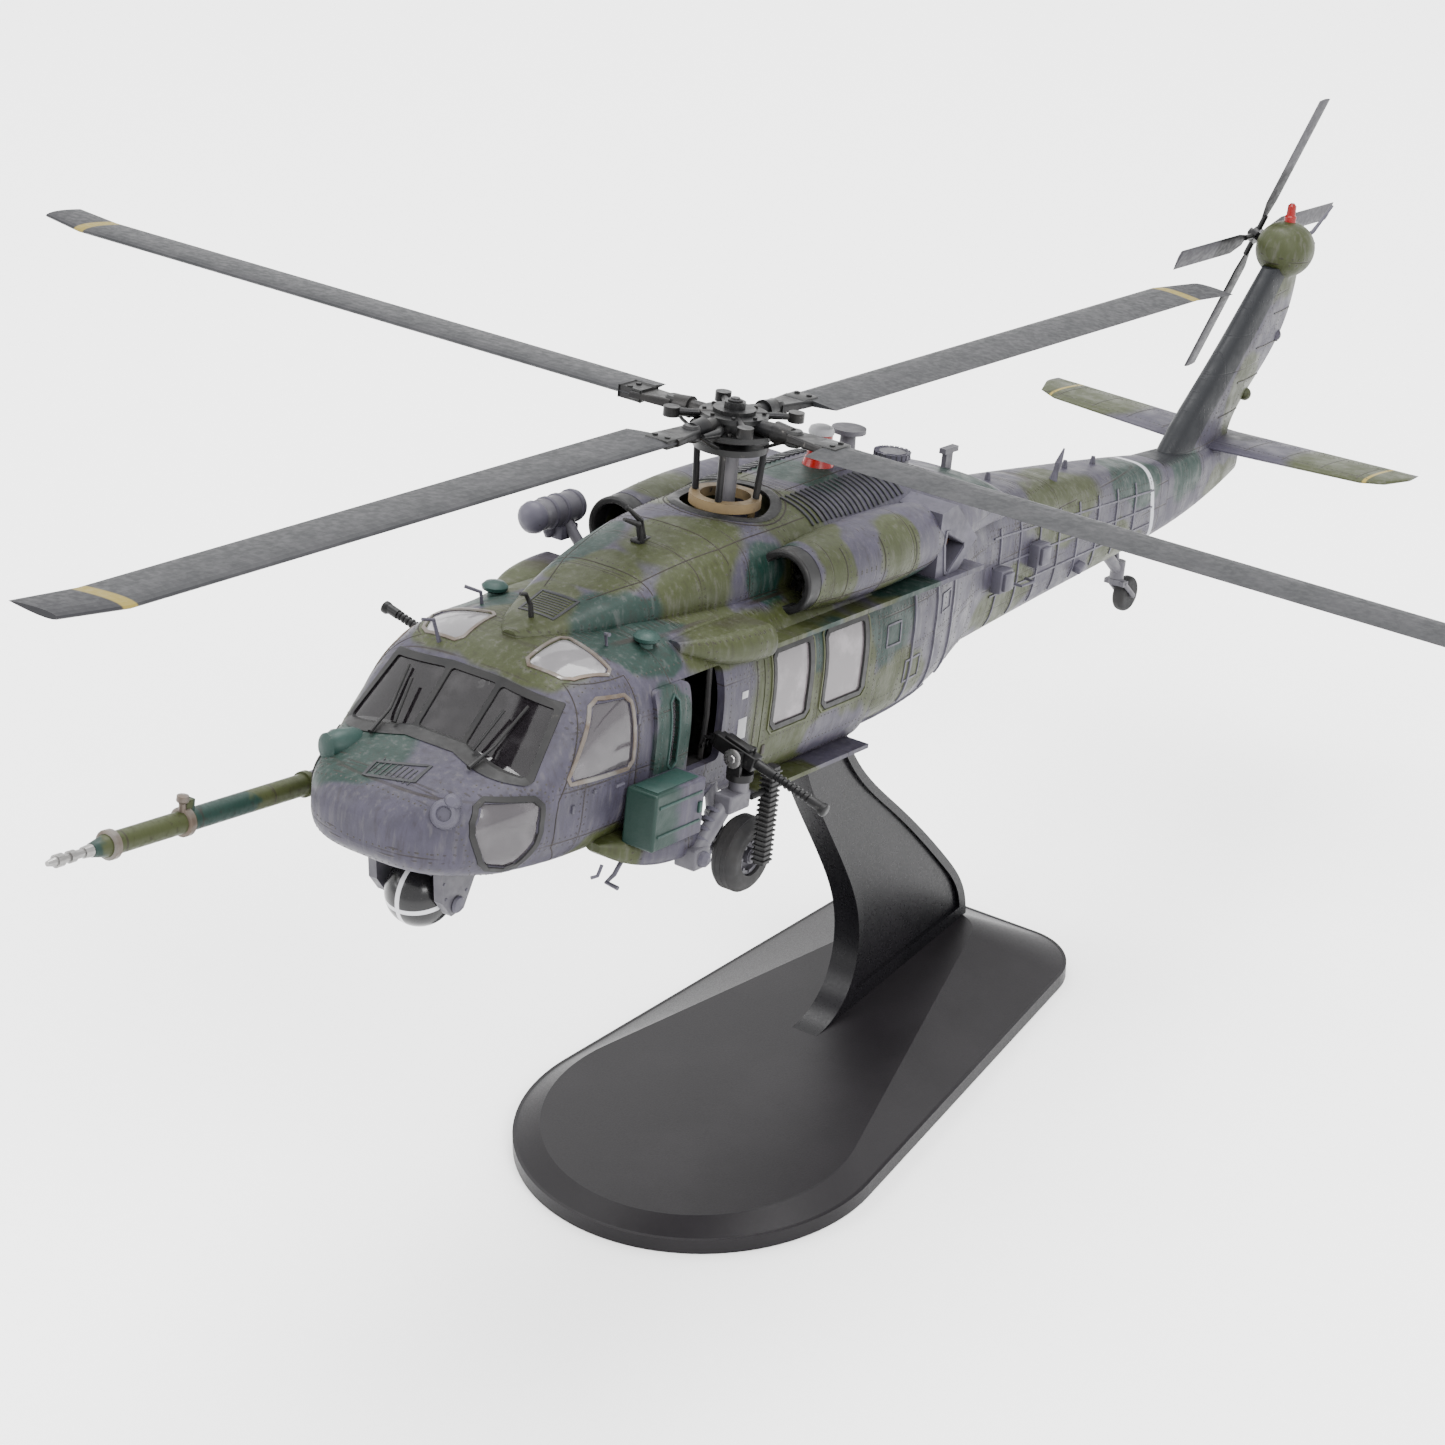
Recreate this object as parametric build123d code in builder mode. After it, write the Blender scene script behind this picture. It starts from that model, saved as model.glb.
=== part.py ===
from build123d import *
from math import cos, sin, pi, radians, copysign
import os

os.makedirs("parts", exist_ok=True)

# All sizes in millimetres. The helicopter is a 1:72 scale model and is drawn level in its own frame:
# origin at the main rotor hub, +X to port, +Y aft, +Z up the mast. The stand is drawn in the frame of
# the whole object: origin under the middle of the base, on the surface that it stands on.

# ---- driving dimensions ----
NOSE_UP = 9.74                 # how far the stand tips the helicopter back, degrees
HUB_AFT = -15.7                # rotor hub from the middle of the base
HUB_HEIGHT = 100.5
ROTOR_RADIUS = 113.6
TAIL_ROTOR_RADIUS = 23.4
TAIL_ROTOR_CANT = 20           # degrees
SKIN = 1.0                     # wall of the fuselage shell
PANE_IN = 0.15                 # glass sits this far under the skin
PANE = 0.5
FRAME_RISE = 0.12              # windscreen frame above the skin, and its depth below it
FRAME_DEPTH = 0.75
RUNNING = 0.05                 # radial clearance of a running fit
CABIN_END = 12.4               # where the sliding door ends and the narrower rear body starts
SIDES = {"port": 1, "starboard": -1}

ON_STAND = Location(Plane(
    origin=(0, HUB_AFT, HUB_HEIGHT),
    x_dir=(1, 0, 0),
    z_dir=(0, sin(radians(NOSE_UP)), cos(radians(NOSE_UP)))))


def save(piece, name, place=ON_STAND):
    piece.part = piece.part.moved(place)
    piece.part.label = name
    export_step(piece.part, f"parts/{name}.step")


# ---- rounded body sections ----
SECTION_POINTS = 24


def power(value, exponent):
    return copysign(abs(value) ** exponent, value)


def section(y, half_width, top, bottom, widest, inset=0.0, square_top=3.4, square_bottom=3.4):
    """Cross-section of a body at y: a rounded box with its own top, bottom and widest heights."""
    points = []
    for step in range(SECTION_POINTS):
        angle = 2 * pi * step / SECTION_POINTS
        upper = sin(angle) >= 0
        height = top - widest - inset if upper else widest - bottom - inset
        exponent = 2 / (square_top if upper else square_bottom)
        x = (half_width - inset) * power(cos(angle), exponent)
        z = widest + height * power(sin(angle), exponent)
        points.append((x, z))
    with BuildSketch(Plane.XZ.offset(-y)) as outline:
        with BuildLine():
            Spline(points, periodic=True)
        make_face()
    return outline.sketch


def body(groups, inset=0.0, square_top=3.4, square_bottom=3.4):
    """Solid through each group of stations (y, half width, top, bottom, widest)."""
    with BuildPart() as solid:
        for stations in groups:
            loft(sections=[section(*station, inset, square_top, square_bottom) for station in stations])
    return solid.part


NOSE = [(-65.0, 3.0, -33.7, -37.0, -35.4), (-64.4, 6.0, -32.4, -38.2, -35.4),
        (-62.5, 9.2, -30.9, -39.4, -35.2), (-59.5, 11.6, -29.6, -40.2, -34.6),
        (-56.0, 13.2, -28.5, -40.9, -34.0), (-52.5, 14.4, -27.3, -41.3, -33.2)]
WINDSCREEN = [(-52.5, 14.4, -27.3, -41.3, -33.2), (-49.4, 15.1, -24.2, -41.6, -32.4),
              (-46.2, 15.6, -21.0, -41.8, -31.6)]
ROOF = [(-46.2, 15.6, -21.0, -41.8, -31.6), (-44.0, 15.9, -19.4, -41.9, -31.0),
        (-41.0, 16.1, -18.2, -42.0, -30.4), (-36.0, 16.3, -17.7, -42.0, -29.8),
        (-28.0, 16.4, -17.3, -42.0, -29.5)]
CABIN = [(-28.0, 16.4, -17.3, -42.0, -29.5), (CABIN_END, 16.4, -17.3, -42.0, -29.5)]
REAR = [(CABIN_END, 15.2, -17.7, -41.2, -29.5), (22.0, 14.9, -17.7, -41.2, -29.5),
        (30.0, 13.8, -17.7, -41.0, -29.3), (37.0, 12.1, -17.7, -40.6, -29.0),
        (44.0, 10.0, -18.0, -39.6, -28.8), (51.0, 8.3, -18.5, -38.9, -28.8)]
BOOM = [(51.0, 8.3, -18.5, -38.9, -28.8), (64.0, 7.2, -19.7, -38.3, -29.0),
        (80.0, 6.1, -21.4, -37.5, -29.4), (95.0, 5.1, -23.1, -36.8, -29.8),
        (108.0, 4.2, -24.8, -35.9, -30.3)]
TAIL_END = [(108.0, 4.2, -24.8, -35.9, -30.3), (121.0, 3.3, -25.4, -34.2, -29.8),
            (133.6, 1.9, -26.4, -31.4, -29.0)]
COWLING = [(-41.0, 1.0, -17.5, -19.5, -18.5), (-38.0, 3.4, -16.9, -20.0, -18.4),
           (-34.0, 5.2, -15.9, -20.5, -18.2), (-28.0, 7.2, -14.3, -21.0, -18.0),
           (-20.0, 9.0, -12.3, -21.0, -17.8), (-10.0, 10.2, -10.6, -21.0, -17.5),
           (0.0, 10.6, -9.9, -21.0, -17.3), (12.0, 10.8, -9.4, -21.0, -17.3),
           (24.0, 11.0, -9.4, -21.0, -17.5), (30.0, 11.8, -10.1, -20.6, -17.8),
           (36.0, 12.2, -11.6, -20.3, -18.3), (45.0, 10.9, -14.2, -20.6, -19.0),
           (54.0, 9.3, -16.8, -21.0, -19.7)]

front_groups = [NOSE, WINDSCREEN, ROOF, CABIN]
front_solid = body(front_groups)
rear_solid = body([REAR])
glass_outer = body(front_groups, PANE_IN)
glass_inner = body(front_groups, PANE_IN + PANE)
frame_outer = body(front_groups, -FRAME_RISE)
frame_inner = body(front_groups, FRAME_DEPTH)


# ---- window and door outlines, as seen from the side (y, z), the front (x, z) or above (x, y) ----
COCKPIT_WINDOW = [(-48.4, -29.4), (-43.0, -21.8), (-38.0, -21.9), (-38.0, -29.6)]
CHIN_WINDOW = [(-58.2, -30.6), (-52.2, -30.9), (-52.0, -35.2), (-54.4, -38.6), (-58.0, -37.6), (-59.8, -33.2)]
ROOF_WINDOW = [(4.8, -43.8), (10.2, -43.2), (12.6, -38.4), (5.0, -37.2)]
WINDSCREEN_SIDE = [(3.9, -21.6), (11.2, -22.3), (12.6, -28.7), (3.8, -27.2)]
WINDSCREEN_MIDDLE = [(-3.2, -21.5), (3.2, -21.5), (3.1, -27.1), (-3.1, -27.1)]
WINDSCREEN_OPENING = [(-11.9, -21.7), (-3.5, -20.9), (3.5, -20.9), (11.9, -21.7),
                      (13.4, -29.3), (3.4, -27.8), (-3.4, -27.8), (-13.4, -29.3)]
BAY_FRONT, BAY_REAR, BAY_TOP, BAY_BOTTOM = -34.2, -20.4, -21.9, -33.4
DOOR_FRONT, DOOR_REAR, DOOR_TOP, DOOR_BOTTOM = -12.2, CABIN_END, -21.6, -39.4
DOOR = 0.7                     # thickness of a sliding door
DOOR_WINDOWS = [(-9.8, -2.4), (1.2, 9.6)]
DOOR_WINDOW_TOP, DOOR_WINDOW_BOTTOM = -22.9, -31.9


def side_prism(points, side, round_corners=0.8, start=8.0, end=20.0):
    """Prism across one side of the body, from an outline seen from the side."""
    with BuildPart() as prism:
        with BuildSketch(Plane.YZ.offset(side * start)):
            with BuildLine():
                Polyline(*points, close=True)
            make_face()
            fillet(vertices(), round_corners)
        extrude(amount=side * (end - start))
    return prism.part


def front_prism(points, round_corners=0.4):
    """Prism along the body through the windscreen, from an outline seen from the front."""
    with BuildPart() as prism:
        with BuildSketch(Plane.XZ.offset(56)):
            with BuildLine():
                Polyline(*points, close=True)
            make_face()
            fillet(vertices(), round_corners)
        extrude(amount=-15)
    return prism.part


def roof_prism(points, side, round_corners=0.8):
    with BuildPart() as prism:
        with BuildSketch(Plane.XY.offset(-24)):
            with BuildLine():
                Polyline(*[(side * x, y) for x, y in points], close=True)
            make_face()
            fillet(vertices(), round_corners)
        extrude(amount=10)
    return prism.part


def box_points(front, rear, top, bottom):
    return [(front, bottom), (front, top), (rear, top), (rear, bottom)]


cockpit_prisms = [side_prism(COCKPIT_WINDOW, side) for side in SIDES.values()]
chin_prisms = [side_prism(CHIN_WINDOW, side, 0.9) for side in SIDES.values()]
roof_prisms = [roof_prism(ROOF_WINDOW, side) for side in SIDES.values()]
windscreen_panes = [front_prism(WINDSCREEN_MIDDLE)]
for side in SIDES.values():
    windscreen_panes.append(front_prism([(side * x, z) for x, z in WINDSCREEN_SIDE]))
windscreen_opening = front_prism(WINDSCREEN_OPENING)
bay_prisms = [side_prism(box_points(BAY_FRONT, BAY_REAR, BAY_TOP, BAY_BOTTOM), side) for side in SIDES.values()]
door_prisms = [side_prism(box_points(DOOR_FRONT, DOOR_REAR + 2, DOOR_TOP, DOOR_BOTTOM), side, 0.6)
               for side in SIDES.values()]

# ---- small shape helpers ----
def toward(start, end):
    """Plane at start that faces end, with the distance between them."""
    run = Vector(*end) - Vector(*start)
    return Plane(origin=start, z_dir=run), run.length


def rod(start, end, radius, end_radius=None):
    """Round bar from start to end, tapered when end_radius is given."""
    plane, length = toward(start, end)
    with BuildPart() as bar:
        with BuildSketch(plane):
            Circle(radius)
        if end_radius is None:
            extrude(amount=length)
        else:
            with BuildSketch(plane.offset(length)):
                Circle(end_radius)
            loft()
    return bar.part


def block(low, high, edge=0.0):
    """Box between two corners, with every edge rounded when edge is given."""
    size = [high[axis] - low[axis] for axis in range(3)]
    middle = [(high[axis] + low[axis]) / 2 for axis in range(3)]
    with BuildPart() as solid:
        with Locations(tuple(middle)):
            Box(*size)
        if edge:
            fillet(solid.edges(), edge)
    return solid.part


def mirrored(low, high, side):
    """The corners of a box drawn on the port side, moved to the given side."""
    if side > 0:
        return low, high
    return (-high[0], low[1], low[2]), (-low[0], high[1], high[2])


# ---- stand ----
BASE_FRONT_CENTRE = -22.0      # centre of the round front end
BASE_FRONT_RADIUS = 24.6
BASE_REAR_RADIUS = 9.0
BASE_REAR_CENTRE = (9.4, 36.6)
RIM_HEIGHT = 2.0
TOP_FRONT_RADIUS = 21.0
TOP_REAR_RADIUS = 5.0
TOP_REAR_CENTRE = (0.8, 33.0)
TOP_HEIGHT = 4.6               # at the middle of the base
TOP_RISE = 1.9                 # degrees, upwards to the back
ARM = 4.0                      # thickness of the arm
FOOT_FRONT, FOOT_REAR = 1.5, 38.6
TONGUE = (2.6, 26.0, 2.6)      # tongue under the foot: across, along, deep
TONGUE_MIDDLE = 22.0
PEG = (2.6, 6.0, 2.6)          # peg on top of the arm, in the belly: across, along, high
PEG_MIDDLE = (0, 23.5)
PEG_CLEARANCE = 0.15


def base_outline(plane, front_radius, rear_centre, rear_radius):
    with BuildSketch(plane) as outline:
        with Locations((0, BASE_FRONT_CENTRE)):
            Circle(front_radius)
        with Locations(rear_centre, (-rear_centre[0], rear_centre[1])):
            Circle(rear_radius)
        make_hull()
    return outline.sketch


top_plane = Plane.XY.offset(TOP_HEIGHT).rotated((TOP_RISE, 0, 0))
rim_low = base_outline(Plane.XY, BASE_FRONT_RADIUS, BASE_REAR_CENTRE, BASE_REAR_RADIUS)
rim_high = base_outline(Plane.XY.offset(RIM_HEIGHT), BASE_FRONT_RADIUS, BASE_REAR_CENTRE, BASE_REAR_RADIUS)
shoulder = base_outline(
    Plane.XY.offset(RIM_HEIGHT), BASE_FRONT_RADIUS - 0.5, BASE_REAR_CENTRE, BASE_REAR_RADIUS - 0.5)
top_face = base_outline(top_plane, TOP_FRONT_RADIUS, TOP_REAR_CENTRE, TOP_REAR_RADIUS)
tongue_box = block((-TONGUE[0] / 2, TONGUE_MIDDLE - TONGUE[1] / 2, TOP_HEIGHT - TONGUE[2]),
                   (TONGUE[0] / 2, TONGUE_MIDDLE + TONGUE[1] / 2, TOP_HEIGHT + 3))

with BuildPart() as stand_base:
    loft(sections=[rim_low, rim_high], ruled=True)
    loft(sections=[shoulder, top_face], ruled=True)
    add(tongue_box, mode=Mode.SUBTRACT)
save(stand_base, "stand_base", Location())

# The arm is an S-curve from the foot up to the belly, with raised lips round its recessed flanks.
ARM_FRONT = [(FOOT_FRONT, 4.65), (10.2, 10.0), (11.3, 17.0), (8.0, 27.1), (1.8, 38.8), (-1.8, 47.0), (-3.0, 56.4)]
ARM_REAR = [(6.1, 54.8), (7.6, 47.6), (11.9, 40.5), (20.1, 31.7), (33.2, 17.2), (38.2, 9.0), (FOOT_REAR, 5.88)]
FLANK_FRONT = [(11.0, 7.3), (12.0, 11.0), (12.5, 17.0), (9.1, 27.6), (2.9, 39.4), (-0.6, 47.3), (-1.8, 54.8)]
FLANK_REAR = [(4.9, 53.5), (6.4, 47.2), (10.9, 39.8), (19.2, 31.0), (32.2, 16.5), (36.6, 9.4), (36.9, 7.6)]
FLANK_RECESS = 0.6


def arm_outline(plane, front_points, rear_points):
    with BuildSketch(plane) as outline:
        with BuildLine():
            front = Spline(front_points)
            rear = Spline(rear_points)
            Line(front @ 1, rear @ 0)
            Line(rear @ 1, front @ 0)
        make_face()
    return outline.sketch


peg_low = (-PEG[0] / 2, PEG_MIDDLE[1] - PEG[1] / 2, -43.0)
peg_high = (PEG[0] / 2, PEG_MIDDLE[1] + PEG[1] / 2, -41.8 + PEG[2])
peg = block(peg_low, peg_high).moved(ON_STAND)
tongue = block((-TONGUE[0] / 2, TONGUE_MIDDLE - TONGUE[1] / 2, TOP_HEIGHT - TONGUE[2]),
               (TONGUE[0] / 2, TONGUE_MIDDLE + TONGUE[1] / 2, TOP_HEIGHT + 1.8))
arm_face = arm_outline(Plane.YZ.offset(-ARM / 2), ARM_FRONT, ARM_REAR)
flank_faces = {side: arm_outline(Plane.YZ.offset(side * ARM / 2), FLANK_FRONT, FLANK_REAR)
               for side in SIDES.values()}
with BuildPart() as stand_arm:
    extrude(arm_face, amount=ARM)
    for side, face in flank_faces.items():
        extrude(face, amount=-side * FLANK_RECESS, mode=Mode.SUBTRACT)
    add(tongue)
    add(peg)
save(stand_arm, "stand_arm", Location())

# ---- fuselage shell ----
inner_space = body([WINDSCREEN, ROOF, CABIN], SKIN)
hollow_ends = block((-20, -51.3, -45), (20, CABIN_END - 1.2, -10))
with BuildPart() as cabin_hollow:
    add(inner_space)
    add(hollow_ends, mode=Mode.INTERSECT)
peg_slot = block((peg_low[0] - PEG_CLEARANCE, peg_low[1] - PEG_CLEARANCE, -43),
                 (peg_high[0] + PEG_CLEARANCE, peg_high[1] + PEG_CLEARANCE, peg_high[2] + PEG_CLEARANCE))
openings = cockpit_prisms + chin_prisms + roof_prisms + bay_prisms + door_prisms + [windscreen_opening]

with BuildPart() as fuselage_shell:
    add(front_solid)
    add(cabin_hollow.part, mode=Mode.SUBTRACT)
    for opening in openings:
        add(opening, mode=Mode.SUBTRACT)
    add(rear_solid)
    add(peg_slot, mode=Mode.SUBTRACT)
save(fuselage_shell, "fuselage_shell")


def skin_piece(outer, inner, prism, holes=()):
    """Piece of a curved skin between two bodies, inside a prism and outside its holes."""
    with BuildPart() as piece:
        add(outer)
        add(inner, mode=Mode.SUBTRACT)
        add(prism, mode=Mode.INTERSECT)
        for hole in holes:
            add(hole, mode=Mode.SUBTRACT)
    return piece.part


def join(pieces, cuts=()):
    """One node from several pieces, less the pieces that it fits against."""
    with BuildPart() as node:
        for piece in pieces:
            add(piece)
        for cut in cuts:
            add(cut, mode=Mode.SUBTRACT)
    return node


# ---- glazing ----
save(join([skin_piece(frame_outer, frame_inner, windscreen_opening, windscreen_panes)]), "windscreen_frame")
save(join([skin_piece(glass_outer, glass_inner, pane) for pane in windscreen_panes]), "windscreen_glass")
save(join([skin_piece(glass_outer, glass_inner, prism) for prism in roof_prisms]), "roof_glass")
save(join([skin_piece(glass_outer, glass_inner, prism) for prism in cockpit_prisms + chin_prisms]),
     "cockpit_side_glass")

# ---- gunner's bays: the sliding frame stands open at the front of each bay ----
FRAME_PROUD = 0.45
BAY_FRAME_REAR = -27.6
BAY_SLOT = (-31.5, -30.0, -23.2, -31.6)
bay_outer = body([ROOF, CABIN], -FRAME_PROUD)
bay_frames = []
bay_glass = []
for side in SIDES.values():
    frame_prism = side_prism(
        box_points(BAY_FRONT + 0.05, BAY_FRAME_REAR, BAY_TOP - 0.05, BAY_BOTTOM + 0.05), side, 0.9)
    slot = side_prism(box_points(*BAY_SLOT), side, 0.7)
    bay_frames.append(skin_piece(bay_outer, glass_inner, frame_prism, [slot]))
    bay_glass.append(skin_piece(glass_outer, glass_inner, slot))
save(join(bay_frames), "gunner_window_frames")
save(join(bay_glass), "gunner_window_glass")

# ---- sliding cabin doors ----
DOOR_GAP = 0.15
door_stations = [(DOOR_FRONT - 1, *CABIN[1][1:]), (DOOR_REAR + 0.3, *CABIN[1][1:])]
door_outer = body([door_stations])
door_inner = body([door_stations], DOOR)
door_glass_outer = body([door_stations], 0.1)
door_glass_inner = body([door_stations], 0.5)
for side_name, side in SIDES.items():
    door_prism = side_prism(
        box_points(DOOR_FRONT + DOOR_GAP, DOOR_REAR - DOOR_GAP, DOOR_TOP - DOOR_GAP, DOOR_BOTTOM + DOOR_GAP),
        side, 0.5)
    windows = [side_prism(box_points(front, rear, DOOR_WINDOW_TOP, DOOR_WINDOW_BOTTOM), side, 0.9)
               for front, rear in DOOR_WINDOWS]
    save(join([skin_piece(door_outer, door_inner, door_prism, windows)]), f"{side_name}_cabin_door")
    save(join([skin_piece(door_glass_outer, door_glass_inner, window) for window in windows]),
         f"{side_name}_door_glass")

# ---- inside ----
FLOOR_TOP = -38.9
floor_space = body([WINDSCREEN, ROOF, CABIN], SKIN + 0.05)
floor_slab = block((-20, -50.5, FLOOR_TOP - 0.8), (20, CABIN_END - 1.3, FLOOR_TOP))
with BuildPart() as cabin_floor:
    add(floor_space)
    add(floor_slab, mode=Mode.INTERSECT)
save(cabin_floor, "cabin_floor")

panel_board = block((-9.5, -49.6, -35.2), (9.5, -48.4, -30.6))
panel_hood = block((-9.8, -50.2, -30.6), (9.8, -47.6, -29.9))
pedestal = block((-1.8, -49.6, FLOOR_TOP), (1.8, -42.0, -34.6))
save(join([panel_board, panel_hood, pedestal]), "instrument_panel")

seats = []
for side in SIDES.values():
    for low, high in (((3.6, -44.6, -37.0), (9.4, -39.4, -35.2)), ((3.8, -39.4, -37.0), (9.2, -38.1, -27.6)),
                      ((5.0, -43.6, FLOOR_TOP), (8.0, -40.0, -37.0))):
        seats.append(block(*mirrored(low, high, side)))
save(join(seats), "cockpit_seats")

# ---- tail ----
AIRFOIL_STEPS = 9


def airfoil(plane, chord, thickness, faceted=False):
    """Symmetric wing section: leading edge at the plane's origin, chord along its x."""
    upper = []
    for step in range(AIRFOIL_STEPS + 1):
        along = (1 - cos(pi * step / AIRFOIL_STEPS)) / 2
        rise = 5 * thickness * (0.2969 * along ** 0.5 - 0.126 * along - 0.3516 * along ** 2
                                + 0.2843 * along ** 3 - 0.1015 * along ** 4)
        upper.append((along * chord, rise * chord))
    lower = [(x, -rise) for x, rise in upper]
    points = list(reversed(upper)) + lower[1:]
    with BuildSketch(plane) as outline:
        with BuildLine():
            if faceted:
                Polyline(*points)
            else:
                Spline(points)
            Line(upper[-1], lower[-1])
        make_face()
    return outline.sketch


def level_plane(y, z):
    """Horizontal plane with its x aft, for a fin section."""
    return Plane(origin=(0, y, z), x_dir=(0, 1, 0), z_dir=(0, 0, 1))


boom_solid = body([BOOM])
save(join([boom_solid]), "tail_boom")

FIN = [(-29.0, 109.5, 24.0, 0.19), (-25.0, 112.4, 20.4, 0.21), (-14.0, 124.0, 19.6, 0.2), (-4.0, 134.4, 13.6, 0.24),
       (-1.2, 137.2, 11.0, 0.26)]
fin_sections = [airfoil(level_plane(front, z), chord, thickness) for z, front, chord, thickness in FIN]
tail_end_solid = body([TAIL_END])
with BuildPart() as tail_pylon:
    loft(sections=fin_sections)
    add(tail_end_solid)
    with Locations((0, 143.6, -12.2), (0, 136.6, -20.2)):
        Sphere(1.0)
    add(boom_solid, mode=Mode.SUBTRACT)
pylon_solid = tail_pylon.part

# The tail rotor leans outwards: its own axes run out along its shaft, up and aft.
TAIL_HUB = Vector(-5.0, 143.4, 1.7)
cant = radians(TAIL_ROTOR_CANT)
tail_out = Vector(-cos(cant), 0, sin(cant))
tail_up = Vector(sin(cant), 0, cos(cant))
tail_aft = Vector(0, 1, 0)
TAIL_CHORD = 3.3
TAIL_ROOT = 3.4
SHAFT_RADIUS = 0.6


def tail_point(out, up, aft):
    return (TAIL_HUB + tail_out * out + tail_up * up + tail_aft * aft)


GEARBOX = (0, 142.4, 1.0)
gearbox_stations = [(GEARBOX[1] + along, radius) for along, radius in
                    ((-4.1, 0.9), (-3.4, 2.5), (-2.0, 3.7), (0.0, 4.2), (2.4, 3.8), (4.8, 2.6), (6.4, 1.5))]
with BuildPart() as tail_gearbox_fairing:
    slices = []
    for y, radius in gearbox_stations:
        with BuildSketch(Plane.XZ.offset(-y), mode=Mode.PRIVATE) as slice_sketch:
            with Locations((GEARBOX[0], GEARBOX[2])):
                Circle(radius)
        slices.append(slice_sketch.sketch)
    loft(sections=slices)
gearbox_solid = tail_gearbox_fairing.part
save(join([gearbox_solid], [rod(tail_point(-3.2, 0, 0), tail_point(0, 0, 0), SHAFT_RADIUS + RUNNING)]),
     "tail_gearbox_fairing")
save(join([pylon_solid], [gearbox_solid]), "tail_pylon")

STABILATOR_HEIGHT = -25.9
STABILATOR = [(0.0, 123.6, 12.2, 0.1), (25.5, 124.8, 10.2, 0.1), (28.6, 126.6, 8.2, 0.09), (30.4, 131.0, 3.8, 0.09)]
halves = []
for side in SIDES.values():
    stabilator_sections = []
    for x, front, chord, thickness in STABILATOR:
        plane = Plane(origin=(side * x, front, STABILATOR_HEIGHT + 0.035 * x), x_dir=(0, 1, 0), z_dir=(side, 0, 0))
        stabilator_sections.append(airfoil(plane, chord, thickness))
    with BuildPart() as half:
        loft(sections=stabilator_sections[:2], ruled=True)
        loft(sections=stabilator_sections[1:], ruled=True)
    halves.append(half.part)
save(join(halves, [pylon_solid]), "stabilator")

# ---- rotor cowling, with the round well that the mast stands in ----
WELL_RADIUS = 6.4
WELL_FLOOR = -13.4
MAST_RADIUS = 1.2
MAST_FOOT = -15.5
cowling_solid = body([COWLING], 0.0, 2.8, 3.0)
with BuildPart() as rotor_cowling:
    add(cowling_solid)
    add(front_solid, mode=Mode.SUBTRACT)
    add(rear_solid, mode=Mode.SUBTRACT)
    add(boom_solid, mode=Mode.SUBTRACT)
    with Locations((0, 0, WELL_FLOOR)):
        Cylinder(WELL_RADIUS, 10, align=(Align.CENTER, Align.CENTER, Align.MIN), mode=Mode.SUBTRACT)
    with Locations((0, 0, MAST_FOOT - 0.1)):
        Cylinder(MAST_RADIUS + RUNNING, 10, align=(Align.CENTER, Align.CENTER, Align.MIN), mode=Mode.SUBTRACT)
save(rotor_cowling, "rotor_cowling")

# ---- door rails and roof fairings ----
rails = []
fairings = []
FAIRING = [(-26.5, 2.0, 1.4, 12.6, -19.2), (-20.0, 6.2, 3.6, 13.6, -20.2), (-12.6, 7.6, 4.2, 14.0, -20.5)]
for side in SIDES.values():
    rails.append(block(*mirrored((11.0, -12.3, -21.4), (17.3, 34.4, -20.8), side)))
    rails.append(block(*mirrored((13.0, -12.3, -40.1), (16.9, 12.2, -39.55), side)))
    slices = []
    for y, width, height, x, z in FAIRING:
        with BuildSketch(Plane.XZ.offset(-y)) as outline:
            with Locations((side * x, z)):
                RectangleRounded(width, height, 0.45 * height)
        slices.append(outline.sketch)
    with BuildPart() as fairing:
        loft(sections=slices)
    fairings.append(fairing.part)
solid_hull = [front_solid, rear_solid]
door_rails = join(rails, solid_hull + fairings)
rails_solid = door_rails.part
roof_fairings = join(fairings, solid_hull + [cowling_solid])
save(door_rails, "door_rails")
save(roof_fairings, "roof_fairings")

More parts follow.
